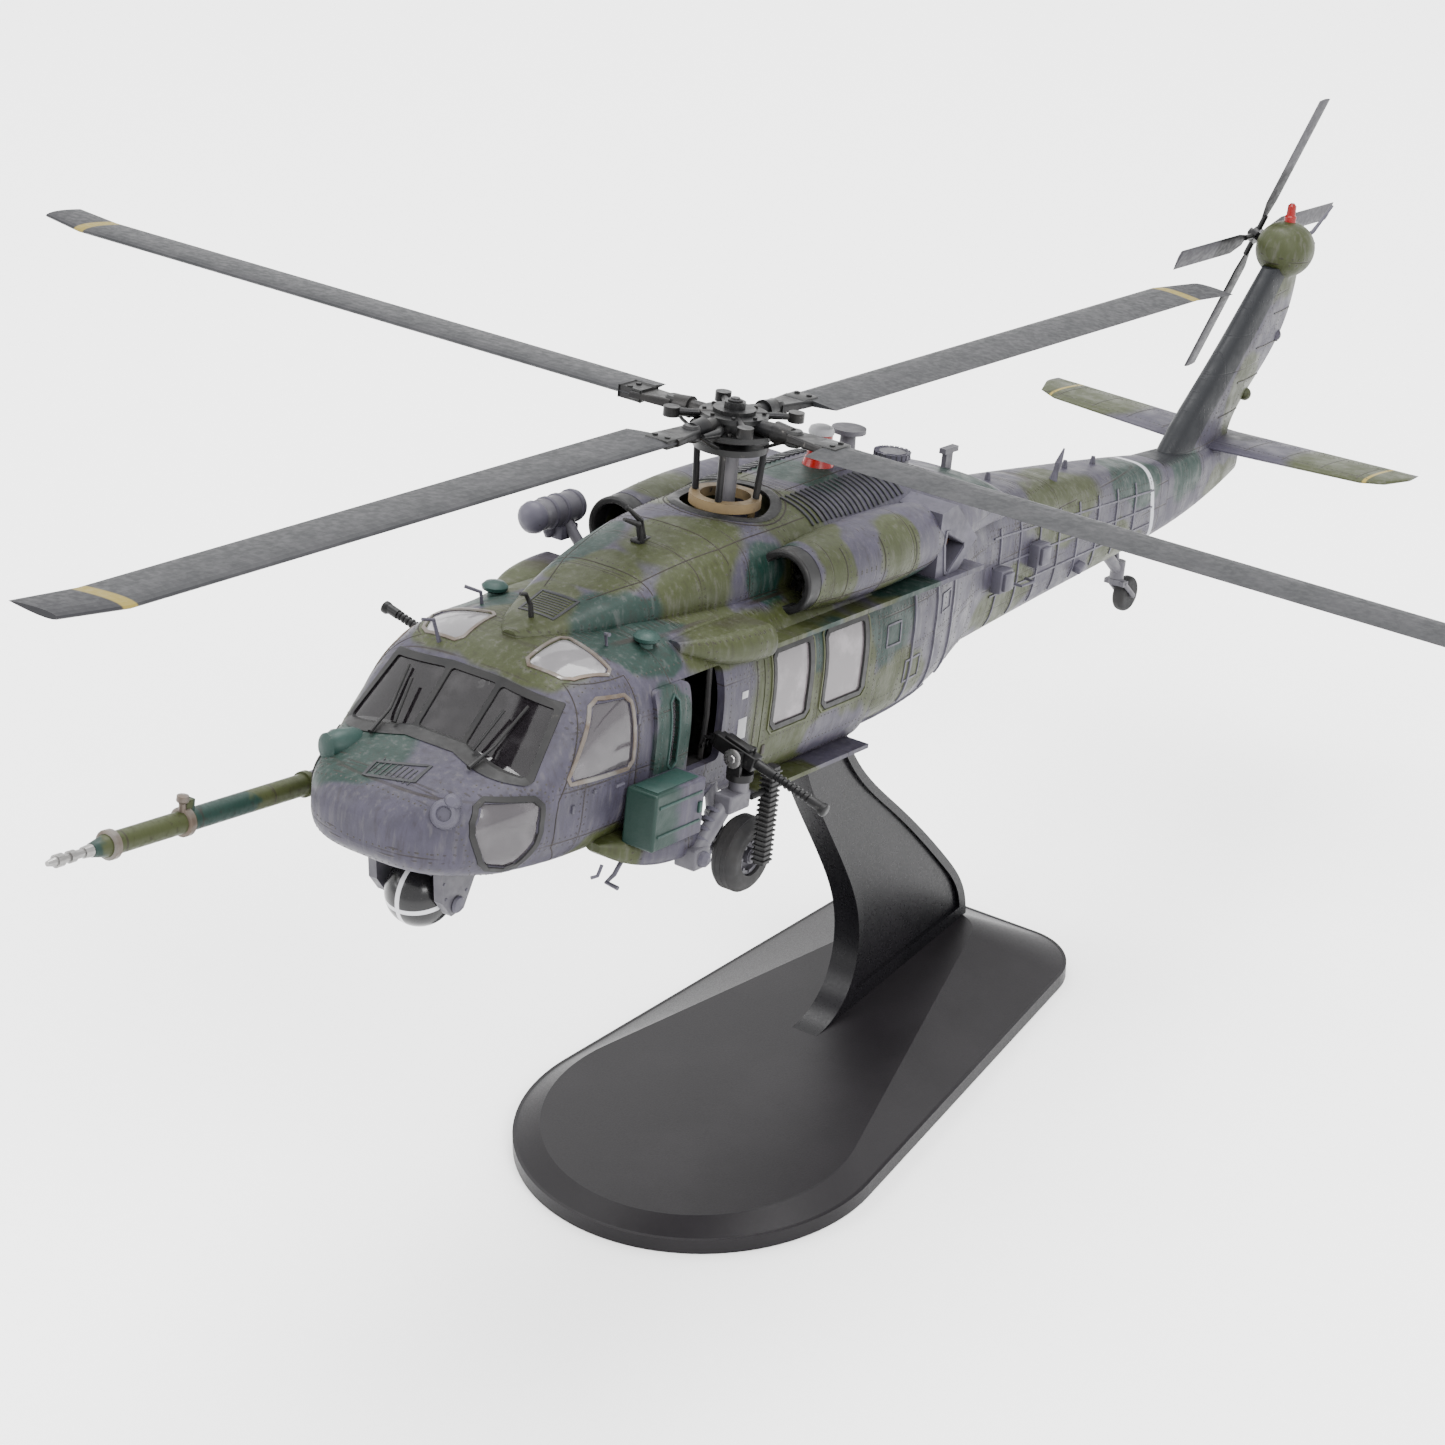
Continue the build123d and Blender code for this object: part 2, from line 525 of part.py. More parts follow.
# ---- engines ----
ENGINE_X, ENGINE_Z = 12.5, -16.1
NACELLE_FRONT = -2.4
NACELLE = [(-2.4, 4.0), (2.0, 4.4), (8.0, 4.75), (17.0, 4.75), (22.5, 4.4), (25.5, 3.8)]
INTAKE_FRONT, INTAKE_BORE, INTAKE_DEPTH = -4.8, 3.0, 4.5
EXHAUST = [(24.2, -12.4), (27.5, -11.8), (33.4, -17.2), (28.6, -21.5), (24.2, -21.2)]
EXHAUST_MOUTH = [(25.4, -15.0), (30.4, -17.5), (26.6, -20.6)]
EXHAUST_OUT, EXHAUST_IN = 16.3, 9.0
intakes = []
nacelles = []
exhausts = []
for side in SIDES.values():
    slices = []
    for y, radius in NACELLE:
        with BuildSketch(Plane.XZ.offset(-y)) as outline:
            with Locations((side * ENGINE_X, ENGINE_Z)):
                Circle(radius)
        slices.append(outline.sketch)
    with BuildPart() as nacelle:
        loft(sections=slices)
        with BuildSketch(Plane.XZ.offset(-NACELLE_FRONT)):
            with Locations((side * ENGINE_X, ENGINE_Z)):
                Circle(INTAKE_BORE)
        extrude(amount=-INTAKE_DEPTH, mode=Mode.SUBTRACT)
    nacelle_node = join([nacelle.part], solid_hull + [cowling_solid, rails_solid])
    nacelle_solid = nacelle_node.part
    with BuildPart() as ring:
        with BuildSketch(Plane.XZ.offset(-INTAKE_FRONT)):
            with Locations((side * ENGINE_X, ENGINE_Z)):
                Circle(3.95)
                Circle(INTAKE_BORE, mode=Mode.SUBTRACT)
        extrude(amount=INTAKE_FRONT - NACELLE_FRONT)
        front_edges = ring.edges().filter_by(GeomType.CIRCLE).group_by(Axis.Y)[0]
        fillet(front_edges, 0.35)
    intakes.append(ring.part)
    with BuildPart() as exhaust:
        with BuildSketch(Plane.YZ.offset(side * EXHAUST_IN)):
            with BuildLine():
                Polyline(*EXHAUST, close=True)
            make_face()
        extrude(amount=side * (EXHAUST_OUT - EXHAUST_IN))
        with BuildSketch(Plane.YZ.offset(side * EXHAUST_OUT)):
            with BuildLine():
                Polyline(*EXHAUST_MOUTH, close=True)
            make_face()
        extrude(amount=-side * 4.5, mode=Mode.SUBTRACT)
    fitted = join([exhaust.part], solid_hull + [cowling_solid, rails_solid, nacelle_solid])
    exhausts.append(fitted.part.solids().sort_by(SortBy.VOLUME)[-1])
    nacelles.append(nacelle_solid)
save(join(intakes, solid_hull + [cowling_solid]), "intake_rings")
save(join(nacelles), "engine_nacelles")
save(join(exhausts), "exhaust_boxes")

# ---- main rotor ----
BLADE_CHORD = 7.4
BLADE_ROOT = 14.0
BLADE_THICKNESS = 0.115
TIP_SWEEP = 2.2
MAST_TOP = -1.6


def around(count, start=0.0):
    """Unit vectors outwards, evenly round the mast."""
    for step in range(count):
        angle = radians(start + 360 * step / count)
        yield Vector(sin(angle), -cos(angle), 0)


save(join([rod((0, 0, MAST_FOOT), (0, 0, MAST_TOP), MAST_RADIUS)]), "rotor_mast")

RING_TOP, RING_BOTTOM = -9.3, -10.5
with BuildPart() as swashplate:
    with BuildSketch(Plane.XY.offset(RING_BOTTOM)):
        Circle(4.4)
        Circle(3.1, mode=Mode.SUBTRACT)
    extrude(amount=RING_TOP - RING_BOTTOM)
    for outward in around(3, 30):
        with BuildSketch(Plane.XY.offset(WELL_FLOOR)):
            with Locations((outward.X * 3.75, outward.Y * 3.75)):
                Circle(0.45)
        extrude(amount=RING_BOTTOM - WELL_FLOOR)
save(swashplate, "swashplate_ring")

HUB_LOW = -1.6
HUB_STEPS = ((HUB_LOW, -0.9, 5.2), (-0.9, 0.4, 3.4), (0.4, 1.0, 4.2), (1.0, 1.5, 2.6), (1.5, 2.3, 1.3))
with BuildPart() as rotor_hub:
    with BuildSketch(Plane.XY.offset(-3.4)):
        Circle(4.6)
        Circle(MAST_RADIUS, mode=Mode.SUBTRACT)
    extrude(amount=0.8)
    with BuildSketch(Plane.XY.offset(-2.6)):
        Circle(2.2)
        Circle(MAST_RADIUS, mode=Mode.SUBTRACT)
    extrude(amount=HUB_LOW + 2.6)
    for low, high, radius in HUB_STEPS:
        with BuildSketch(Plane.XY.offset(low)):
            Circle(radius)
        extrude(amount=high - low)
hub_solid = rotor_hub.part
save(rotor_hub, "rotor_hub")

cuffs = []
for outward in around(4):
    start, collar, end = outward * 3.0, outward * 6.2, outward * BLADE_ROOT
    sides = Vector(-outward.Y, outward.X, 0)
    cuffs.append(rod(start, collar, 1.0))
    cuffs.append(rod(collar, (outward * 8.6), 1.35, 1.1))
    with BuildPart() as grip:
        with BuildSketch(Plane(origin=(outward * 8.6), x_dir=sides, z_dir=outward)):
            RectangleRounded(2.6, 1.2, 0.3)
        with BuildSketch(Plane(origin=end, x_dir=sides, z_dir=outward)):
            RectangleRounded(4.2, 0.9, 0.3)
        loft()
    cuffs.append(grip.part)
save(join(cuffs, [hub_solid]), "blade_cuffs")

weights = []
for outward in around(4, 45):
    weights.append(rod((outward * 2.0 + Vector(0, 0, 0.7)), (outward * 7.2 + Vector(0, 0, 0.7)), 0.42))
    tip = outward * 7.6
    weights.append(rod((tip.X, tip.Y, 0.1), (tip.X, tip.Y, 1.3), 1.0))
save(join(weights, [hub_solid]), "vibration_absorber")

pushrods = []
for outward in around(4, 22):
    low, high = outward * 3.75, outward * 4.1
    pushrods.append(rod((low.X, low.Y, RING_TOP + 0.1), (high.X, high.Y, -3.4), 0.42))
save(join(pushrods, [hub_solid]), "pushrods")

blades = []
for outward in around(4):
    lead = Vector(-outward.Y, outward.X, 0)
    stations = []
    for reach, chord, swept in ((BLADE_ROOT, BLADE_CHORD, 0), (ROTOR_RADIUS - 8.0, BLADE_CHORD, 0),
                                (ROTOR_RADIUS, BLADE_CHORD * 0.9, TIP_SWEEP)):
        origin = outward * reach + lead * (0.25 * BLADE_CHORD - swept)
        plane = Plane(origin=origin, x_dir=(-lead), z_dir=outward)
        stations.append(airfoil(plane, chord, BLADE_THICKNESS, faceted=True))
    with BuildPart() as blade:
        loft(sections=stations, ruled=True)
    blades.append(blade.part)
save(join(blades), "main_blades")

# ---- tail rotor ----
save(join([rod(tail_point(-3.0, 0, 0), tail_point(0, 0, 0), SHAFT_RADIUS)]), "tail_rotor_shaft")
hub_pieces = [rod(tail_point(0, 0, 0), tail_point(0.9, 0, 0), 1.3),
              rod(tail_point(0.9, 0, 0), tail_point(1.6, 0, 0), 0.6)]
tail_blades = []
for angle in range(0, 360, 90):
    out = tail_up * cos(radians(angle)) + tail_aft * sin(radians(angle))
    lead = tail_out.cross(out)
    centre = TAIL_HUB + tail_out * 0.45
    hub_pieces.append(rod((centre + out * 1.0), (centre + out * TAIL_ROOT), 0.42))
    stations = []
    for reach, chord in ((TAIL_ROOT, TAIL_CHORD * 0.55), (6.0, TAIL_CHORD), (TAIL_ROTOR_RADIUS, TAIL_CHORD)):
        origin = centre + out * reach + lead * (0.3 * chord)
        plane = Plane(origin=origin, x_dir=(-lead), z_dir=out)
        stations.append(airfoil(plane, chord, 0.13))
    with BuildPart() as blade:
        loft(sections=stations, ruled=True)
    tail_blades.append(blade.part)
save(join(hub_pieces), "tail_rotor_hub")
save(join(tail_blades), "tail_rotor_blades")

# ---- landing gear ----
WHEEL = (18.3, -16.2, -45.7)
TYRE_RADIUS, TYRE_WIDTH = 4.6, 3.4
HUB_RADIUS = 2.4
AXLE = 0.55
SPONSON = [(-41.4, 2.0, 1.0, 14.6, -39.2), (-38.5, 5.6, 2.8, 15.3, -39.8), (-34.0, 7.0, 3.8, 16.3, -40.2),
           (-27.4, 6.4, 3.6, 16.8, -40.3)]
sponsons = []
for side in SIDES.values():
    slices = []
    for y, width, height, x, z in SPONSON:
        with BuildSketch(Plane.XZ.offset(-y)) as outline:
            with Locations((side * x, z)):
                RectangleRounded(width, height, 0.42 * height)
        slices.append(outline.sketch)
    with BuildPart() as sponson:
        loft(sections=slices)
    sponsons.append(join([sponson.part], solid_hull).part)
save(join(sponsons), "sponsons")


def wheel_ring(x, centre, radius, bore, width, edge):
    """Ring about an axis across the body, with rounded outer edges."""
    with BuildPart() as ring:
        with BuildSketch(Plane.YZ.offset(x - width / 2)):
            with Locations((centre[1], centre[2])):
                Circle(radius)
                Circle(bore, mode=Mode.SUBTRACT)
        extrude(amount=width)
        outer = ring.edges().filter_by(lambda rim: rim.geom_type == GeomType.CIRCLE and rim.radius > radius - 0.01)
        fillet(outer, edge)
    return ring.part


gear_legs = []
for side_name, side in SIDES.items():
    x, y, z = side * WHEEL[0], WHEEL[1], WHEEL[2]
    save(join([wheel_ring(x, WHEEL, TYRE_RADIUS, HUB_RADIUS, TYRE_WIDTH, 1.2)]), f"{side_name}_tyre")
    disc = wheel_ring(x, WHEEL, HUB_RADIUS, AXLE + RUNNING, 2.6, 0.2)
    dish = rod((x + side * 0.7, y, z), (x + side * 1.4, y, z), 1.8)
    boss = rod((x + side * 0.6, y, z), (x + side * 1.5, y, z), 0.95)
    bore = rod((x - side * 2, y, z), (x + side * 2, y, z), AXLE + RUNNING)
    with BuildPart() as wheel_hub:
        add(disc)
        add(dish, mode=Mode.SUBTRACT)
        add(boss)
        add(bore, mode=Mode.SUBTRACT)
    save(wheel_hub, f"{side_name}_wheel_hub")
    leg = [rod((side * 17.0, -28.2, -40.9), (side * 14.9, y, z), 0.85),
           rod((side * 14.2, y, z), (side * 19.5, y, z), AXLE),
           rod((side * 14.2, y, z), (side * 15.9, y, z), 1.1),
           rod((side * 14.9, y - 0.8, z + 0.4), (side * 14.7, -20.0, -33.0), 0.8)]
    gear_legs.append(join(leg, solid_hull + sponsons).part)
save(join(gear_legs), "main_gear_legs")

TAIL_SWIVEL = (0, 104.2)
TAIL_WHEEL = (0, 107.6, -45.3)
leg_foot = -42.2
tail_leg = join([rod((0, 97.2, -35.6), (0, 103.9, -40.8), 0.85), rod((0, 102.2, -35.2), (0, 103.8, -40.4), 0.42),
                 rod((*TAIL_SWIVEL, leg_foot), (*TAIL_SWIVEL, -39.6), 1.05)],
                [boom_solid, rod((*TAIL_SWIVEL, leg_foot - 1), (*TAIL_SWIVEL, -40.6), 0.5 + RUNNING)])
save(tail_leg, "tail_gear_leg")
fork = [rod((*TAIL_SWIVEL, leg_foot - 0.9), (*TAIL_SWIVEL, leg_foot - 0.05), 1.1),
        rod((*TAIL_SWIVEL, leg_foot - 0.5), (*TAIL_SWIVEL, -40.7), 0.5),
        block((-1.6, 103.6, leg_foot - 1.0), (1.6, 105.0, leg_foot - 0.3)),
        rod((-1.5, TAIL_WHEEL[1], TAIL_WHEEL[2]), (1.5, TAIL_WHEEL[1], TAIL_WHEEL[2]), 0.35)]
for side in SIDES.values():
    fork.append(rod((side * 1.35, 104.3, leg_foot - 0.6), (side * 1.35, TAIL_WHEEL[1], TAIL_WHEEL[2]), 0.35))
save(join(fork), "tail_fork")
save(join([wheel_ring(0, TAIL_WHEEL, 2.6, 0.35 + RUNNING, 1.8, 0.7)]), "tail_wheel")

# ---- guns ----
GUN = (20.8, -22.3, -31.0)     # where the gun tips, port side
ARM_TOP = -34.0
CHEEK = 1.1                    # from the gun's centre to a cheek's inner face
GUN_TILT = {"port": -15, "starboard": 14}
gun_arms = []
boxes = []
chutes = []
for side_name, side in SIDES.items():
    x, y, z = side * GUN[0], GUN[1], GUN[2]
    elbow = (side * 20.1, -28.9, -41.6)
    arm_pieces = [block(*mirrored((18.4, -30.6, -43.2), (21.4, -27.6, -40.6), side), 0.3),
                  block(*mirrored((16.0, -29.4, -42.2), (18.6, -27.8, -40.9), side)),
                  rod(elbow, (side * 20.5, -24.6, -36.9), 1.05),
                  block(*mirrored((19.5, -25.4, -37.4), (22.0, -21.3, -35.2), side), 0.3),
                  rod((x, y, -35.4), (x, y, ARM_TOP), 1.2), rod((x, y, ARM_TOP - 0.1), (x, y, ARM_TOP + 0.7), 0.45)]
    with BuildPart() as gun_arm:
        for piece in arm_pieces:
            add(piece)
        for piece in sponsons + solid_hull:
            add(piece, mode=Mode.SUBTRACT)
    gun_arms.append(gun_arm.part)
    cheeks = [block(*mirrored((GUN[0] - 0.9, y + low, ARM_TOP + 0.85), (GUN[0] + 0.9, y + high, z + 0.8), side))
              for low, high in ((-CHEEK - 0.5, -CHEEK), (CHEEK, CHEEK + 0.5))]
    yoke_base = rod((x, y, ARM_TOP + 0.05), (x, y, ARM_TOP + 0.95), 1.6)
    yoke_cuts = [rod((x, y - 3, z), (x, y + 3, z), 0.4 + RUNNING),
                 rod((x, y, ARM_TOP), (x, y, ARM_TOP + 0.8), 0.45 + RUNNING)]
    save(join([yoke_base] + cheeks, yoke_cuts), f"{side_name}_gun_yoke")
    # The gun is drawn with its barrel along +x from the tipping axis, then tipped.
    gun_pieces = [block((-3.6, -0.85, -0.9), (2.2, 0.85, 0.95), 0.15), block((-4.2, -0.6, -0.7), (-3.6, 0.6, 0.7)),
                  rod((0, -1.75, 0), (0, 1.75, 0), 0.4), rod((0, -1.95, 0), (0, -1.7, 0), 1.1),
                  rod((2.2, 0, 0.1), (5.0, 0, 0.1), 0.62), rod((5.0, 0, 0.1), (11.4, 0, 0.1), 0.45),
                  rod((10.2, 0, 0.1), (12.0, 0, 0.1), 0.62)]
    tilt = radians(GUN_TILT[side_name])
    barrel = (side * cos(tilt), 0, sin(tilt))
    gun_up = (-side * sin(tilt), 0, cos(tilt))
    gun_place = Location(Plane(origin=(x, y, z), x_dir=barrel, z_dir=gun_up))
    gun = join(gun_pieces, [rod((11.3, 0, 0.1), (12.1, 0, 0.1), 0.28)])
    gun.part = gun.part.moved(gun_place)
    save(gun, f"{side_name}_gun")
    box_low, box_high = mirrored((16.6, -39.0, -38.7), (21.0, -29.4, -31.8), side)
    boxes.append(join([block(box_low, box_high, 0.35)], sponsons + solid_hull + bay_frames).part)
    with BuildPart() as chute:
        with BuildSketch(Plane.XY.offset(-45.2)):
            with Locations((side * 22.3, -18.0)):
                RectangleRounded(1.5, 1.7, 0.3)
        extrude(amount=12.2)
        add(rod((side * 21.8, -21.0, -36.3), (side * 22.2, -18.4, -36.0), 0.35))
    chutes.append(join([chute.part], [gun_arm.part]).part)
save(join(gun_arms), "gun_arms")
save(join(boxes), "ammunition_boxes")
save(join(chutes), "ammunition_chutes")

# ---- sensor ball under the nose ----
BALL = (0, -53.6, -45.9)
BALL_RADIUS = 4.0
CHEEK_IN, CHEEK_WIDE = 4.15, 1.2
PIN_RADIUS, PIN_REACH = 0.6, 5.2
with BuildPart() as sensor_bracket:
    for side in SIDES.values():
        with BuildSketch(Plane.YZ.offset(side * CHEEK_IN)):
            with BuildLine():
                Polyline((-57.2, -39.0), (-49.8, -39.0), (-50.6, -43.0), (-52.2, -46.6), (-54.4, -47.0),
                         (-56.2, -45.0), close=True)
            make_face()
        extrude(amount=side * CHEEK_WIDE)
    with Locations((0, -53.9, -41.15)):
        Box(2 * CHEEK_IN, 6.4, 1.1)
    for side in SIDES.values():
        pin_bore = rod((side * 3.6, BALL[1], BALL[2]), (side * 6.0, BALL[1], BALL[2]), PIN_RADIUS + RUNNING)
        add(pin_bore, mode=Mode.SUBTRACT)
    add(front_solid, mode=Mode.SUBTRACT)
save(sensor_bracket, "sensor_bracket")
pin_start = (BALL_RADIUS ** 2 - PIN_RADIUS ** 2) ** 0.5
with BuildPart() as sensor_ball:
    with BuildSketch(Plane(origin=BALL)):
        with BuildLine():
            Line((-PIN_REACH, 0), (-PIN_REACH, PIN_RADIUS))
            Line((-PIN_REACH, PIN_RADIUS), (-pin_start, PIN_RADIUS))
            ThreePointArc((-pin_start, PIN_RADIUS), (0, BALL_RADIUS), (pin_start, PIN_RADIUS))
            Line((pin_start, PIN_RADIUS), (PIN_REACH, PIN_RADIUS))
            Line((PIN_REACH, PIN_RADIUS), (PIN_REACH, 0))
            Line((PIN_REACH, 0), (-PIN_REACH, 0))
        make_face()
    revolve(axis=Axis(origin=BALL, direction=(1, 0, 0)))
save(sensor_ball, "sensor_ball")

# ---- refuelling probe ----
PROBE_TIP = Vector(-17.9, -95.0, -36.7)
PROBE_ROOT = Vector(-17.6, -40.2, -38.9)
probe_way = (PROBE_ROOT - PROBE_TIP).normalized()


def probe_point(along):
    return (PROBE_TIP + probe_way * along)


probe_pieces = [rod(probe_point(6.6), probe_point(8.8), 0.8, 1.25), rod(probe_point(8.8), PROBE_ROOT, 1.3)]
for along in (9.0, 21.0, 41.0, 46.0):
    probe_pieces.append(rod(probe_point(along), probe_point(along + 0.8), 1.55))
clamp = tuple(probe_point(21.4))
probe_pieces.append(block((clamp[0] - 0.5, clamp[1] - 0.4, clamp[2] + 1.0),
                          (clamp[0] + 0.5, clamp[1] + 0.9, clamp[2] + 2.6)))
for y in (-46.5, -43.0):
    probe_pieces.append(block((-17.8, y, -39.4), (-13.5, y + 1.0, -37.6)))
save(join(probe_pieces, solid_hull + sponsons), "refuelling_probe")
nozzle_steps = ((0.0, 1.2, 0.3, 0.55), (1.2, 2.2, 0.75, 0.75), (2.2, 3.2, 0.5, 0.5), (3.2, 4.0, 0.7, 0.7),
                (4.0, 5.4, 0.5, 0.5), (5.4, 6.6, 0.65, 0.75))
save(join([rod(probe_point(start), probe_point(end), low, high) for start, end, low, high in nozzle_steps]),
     "probe_nozzle")

# ---- hoist, beacon and antennas ----
hoist = [rod((-18.0, -12.6, -14.3), (-18.0, -5.6, -14.3), 1.9),
         rod((-18.0, -13.4, -14.3), (-18.0, -12.6, -14.3), 1.3, 1.9),
         rod((-18.0, -9.0, -16.0), (-18.0, -9.0, -17.4), 0.8),
         rod((-17.6, -8.4, -15.0), (-12.0, -8.4, -20.6), 0.7)]
save(join(hoist, solid_hull + fairings + [cowling_solid, rails_solid]), "rescue_hoist")

beacon_seat = rod((0, 20.0, -10.2), (0, 20.0, -8.4), 2.3, 1.7)
beacon_lamp = rod((0, 20.0, -8.4), (0, 20.0, -5.2), 1.5)
beacon_cap = rod((0, 20.0, -5.2), (0, 20.0, -4.6), 1.6, 1.2)
save(join([beacon_seat, beacon_lamp, beacon_cap], [cowling_solid]), "beacon")
antennas = [rod((0, 26.4, -10.2), (0, 26.4, -6.2), 1.15, 0.95), rod((0, 26.4, -6.3), (0, 26.4, -5.7), 2.2),
            rod((0, 37.6, -14.0), (0, 37.6, -10.9), 2.2),
            block((-0.35, 50.8, -19.0), (0.35, 52.4, -13.4)), block((-0.5, 50.2, -13.6), (0.5, 53.4, -12.9))]
save(join(antennas, [cowling_solid] + solid_hull), "roof_antennas")

# ---- wipers ----
wiper_pieces = []
for side in SIDES.values():
    wiper_pieces.append(rod((side * 5.6, -53.4, -27.2), (side * 6.6, -49.6, -23.1), 0.2))
save(join(wiper_pieces, [frame_outer]), "wipers")
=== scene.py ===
import bpy
import bmesh
from math import sin, cos, pi, radians
from mathutils import Vector, Matrix


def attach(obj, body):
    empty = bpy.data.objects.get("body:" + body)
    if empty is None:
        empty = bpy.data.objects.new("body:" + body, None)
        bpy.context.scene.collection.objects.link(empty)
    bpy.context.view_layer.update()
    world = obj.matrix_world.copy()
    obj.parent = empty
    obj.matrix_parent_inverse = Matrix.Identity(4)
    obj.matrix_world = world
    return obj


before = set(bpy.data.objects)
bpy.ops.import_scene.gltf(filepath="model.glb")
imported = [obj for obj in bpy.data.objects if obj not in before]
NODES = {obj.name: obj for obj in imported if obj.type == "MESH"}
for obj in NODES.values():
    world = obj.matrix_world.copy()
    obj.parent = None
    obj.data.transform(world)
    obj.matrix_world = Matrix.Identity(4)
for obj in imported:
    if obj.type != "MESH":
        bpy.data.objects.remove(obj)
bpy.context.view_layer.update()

# The helicopter has its own frame, in millimetres: origin at the rotor hub, x port, y aft, z up the mast.
TILT = radians(9.74)
C, S = cos(TILT), sin(TILT)
HUB = Vector((0, -15.7, 100.5))
UP = Vector((0, S, C))
AFT = Vector((0, C, -S))
PORT = Vector((1, 0, 0))
MM = 0.001
TAIL_HUB = (-5.0, 143.4, 1.7)
BALL = (0, -53.6, -45.9)       # centre of the sensor ball
WHEEL = (18.3, -16.2, -45.7)   # centre of the port wheel
GUN = (20.8, -22.3, -31.0)     # where the port gun tips
ENGINE = (12.5, -16.1)         # the port engine's axis, x and z
PROBE_TIP, PROBE_ROOT = Vector((-17.9, -95.0, -36.7)), Vector((-17.6, -40.2, -38.9))
SIDES = {"port": 1, "starboard": -1}
SHARP = radians(38)            # edges sharper than this stay sharp


def H(x, y, z):
    """A point of the helicopter's frame, in the row frame, in metres."""
    return (HUB + PORT * x + AFT * y + UP * z) * MM


def mirrored(side, points):
    """Points given for the port side, on the given side."""
    return [H(side * x, y, z) for x, y, z in points]


def D(x, y, z):
    """A direction of the helicopter's frame, in the row frame."""
    return PORT * x + AFT * y + UP * z


# ---- camera at the photograph's angle ----
right = Vector((0.8129, 0.5823, 0.0039)).normalized()
forward = Vector((-0.5105, 0.7159, -0.4763)).normalized()
upward = right.cross(forward).normalized()
camera_data = bpy.data.cameras.new("camera")
camera_data.lens = 97.29
camera_data.sensor_width = 36.0
camera_data.clip_start = 0.01
camera_data.clip_end = 50.0
camera = bpy.data.objects.new("camera", camera_data)
bpy.context.scene.collection.objects.link(camera)
basis = Matrix((right, upward, -forward)).transposed().to_4x4()
basis.translation = Vector((246.9, -363.9, 290.6)) * MM
camera.matrix_world = basis
bpy.context.scene.camera = camera


# ---- lights and floor ----
world = bpy.data.worlds.new("studio")
bpy.context.scene.world = world
world.use_nodes = True
world.node_tree.nodes["Background"].inputs[0].default_value = (1.0, 1.0, 1.0, 1)
world.node_tree.nodes["Background"].inputs[1].default_value = 2.3


def area_light(name, place, aim, size, power):
    data = bpy.data.lights.new(name, "AREA")
    data.shape = "RECTANGLE"
    data.size = size[0]
    data.size_y = size[1]
    data.energy = power
    lamp = bpy.data.objects.new(name, data)
    lamp.location = place
    lamp.rotation_euler = (Vector(aim) - Vector(place)).to_track_quat("-Z", "Y").to_euler()
    bpy.context.scene.collection.objects.link(lamp)


area_light("top", (-0.15, 0.25, 1.1), (0, 0, 0.05), (0.9, 0.9), 26)
area_light("key", (0.75, -0.35, 0.75), (0, 0, 0.08), (0.5, 0.5), 12.0)
area_light("left", (-0.7, -0.7, 0.6), (0, 0, 0.08), (0.6, 0.6), 8.0)


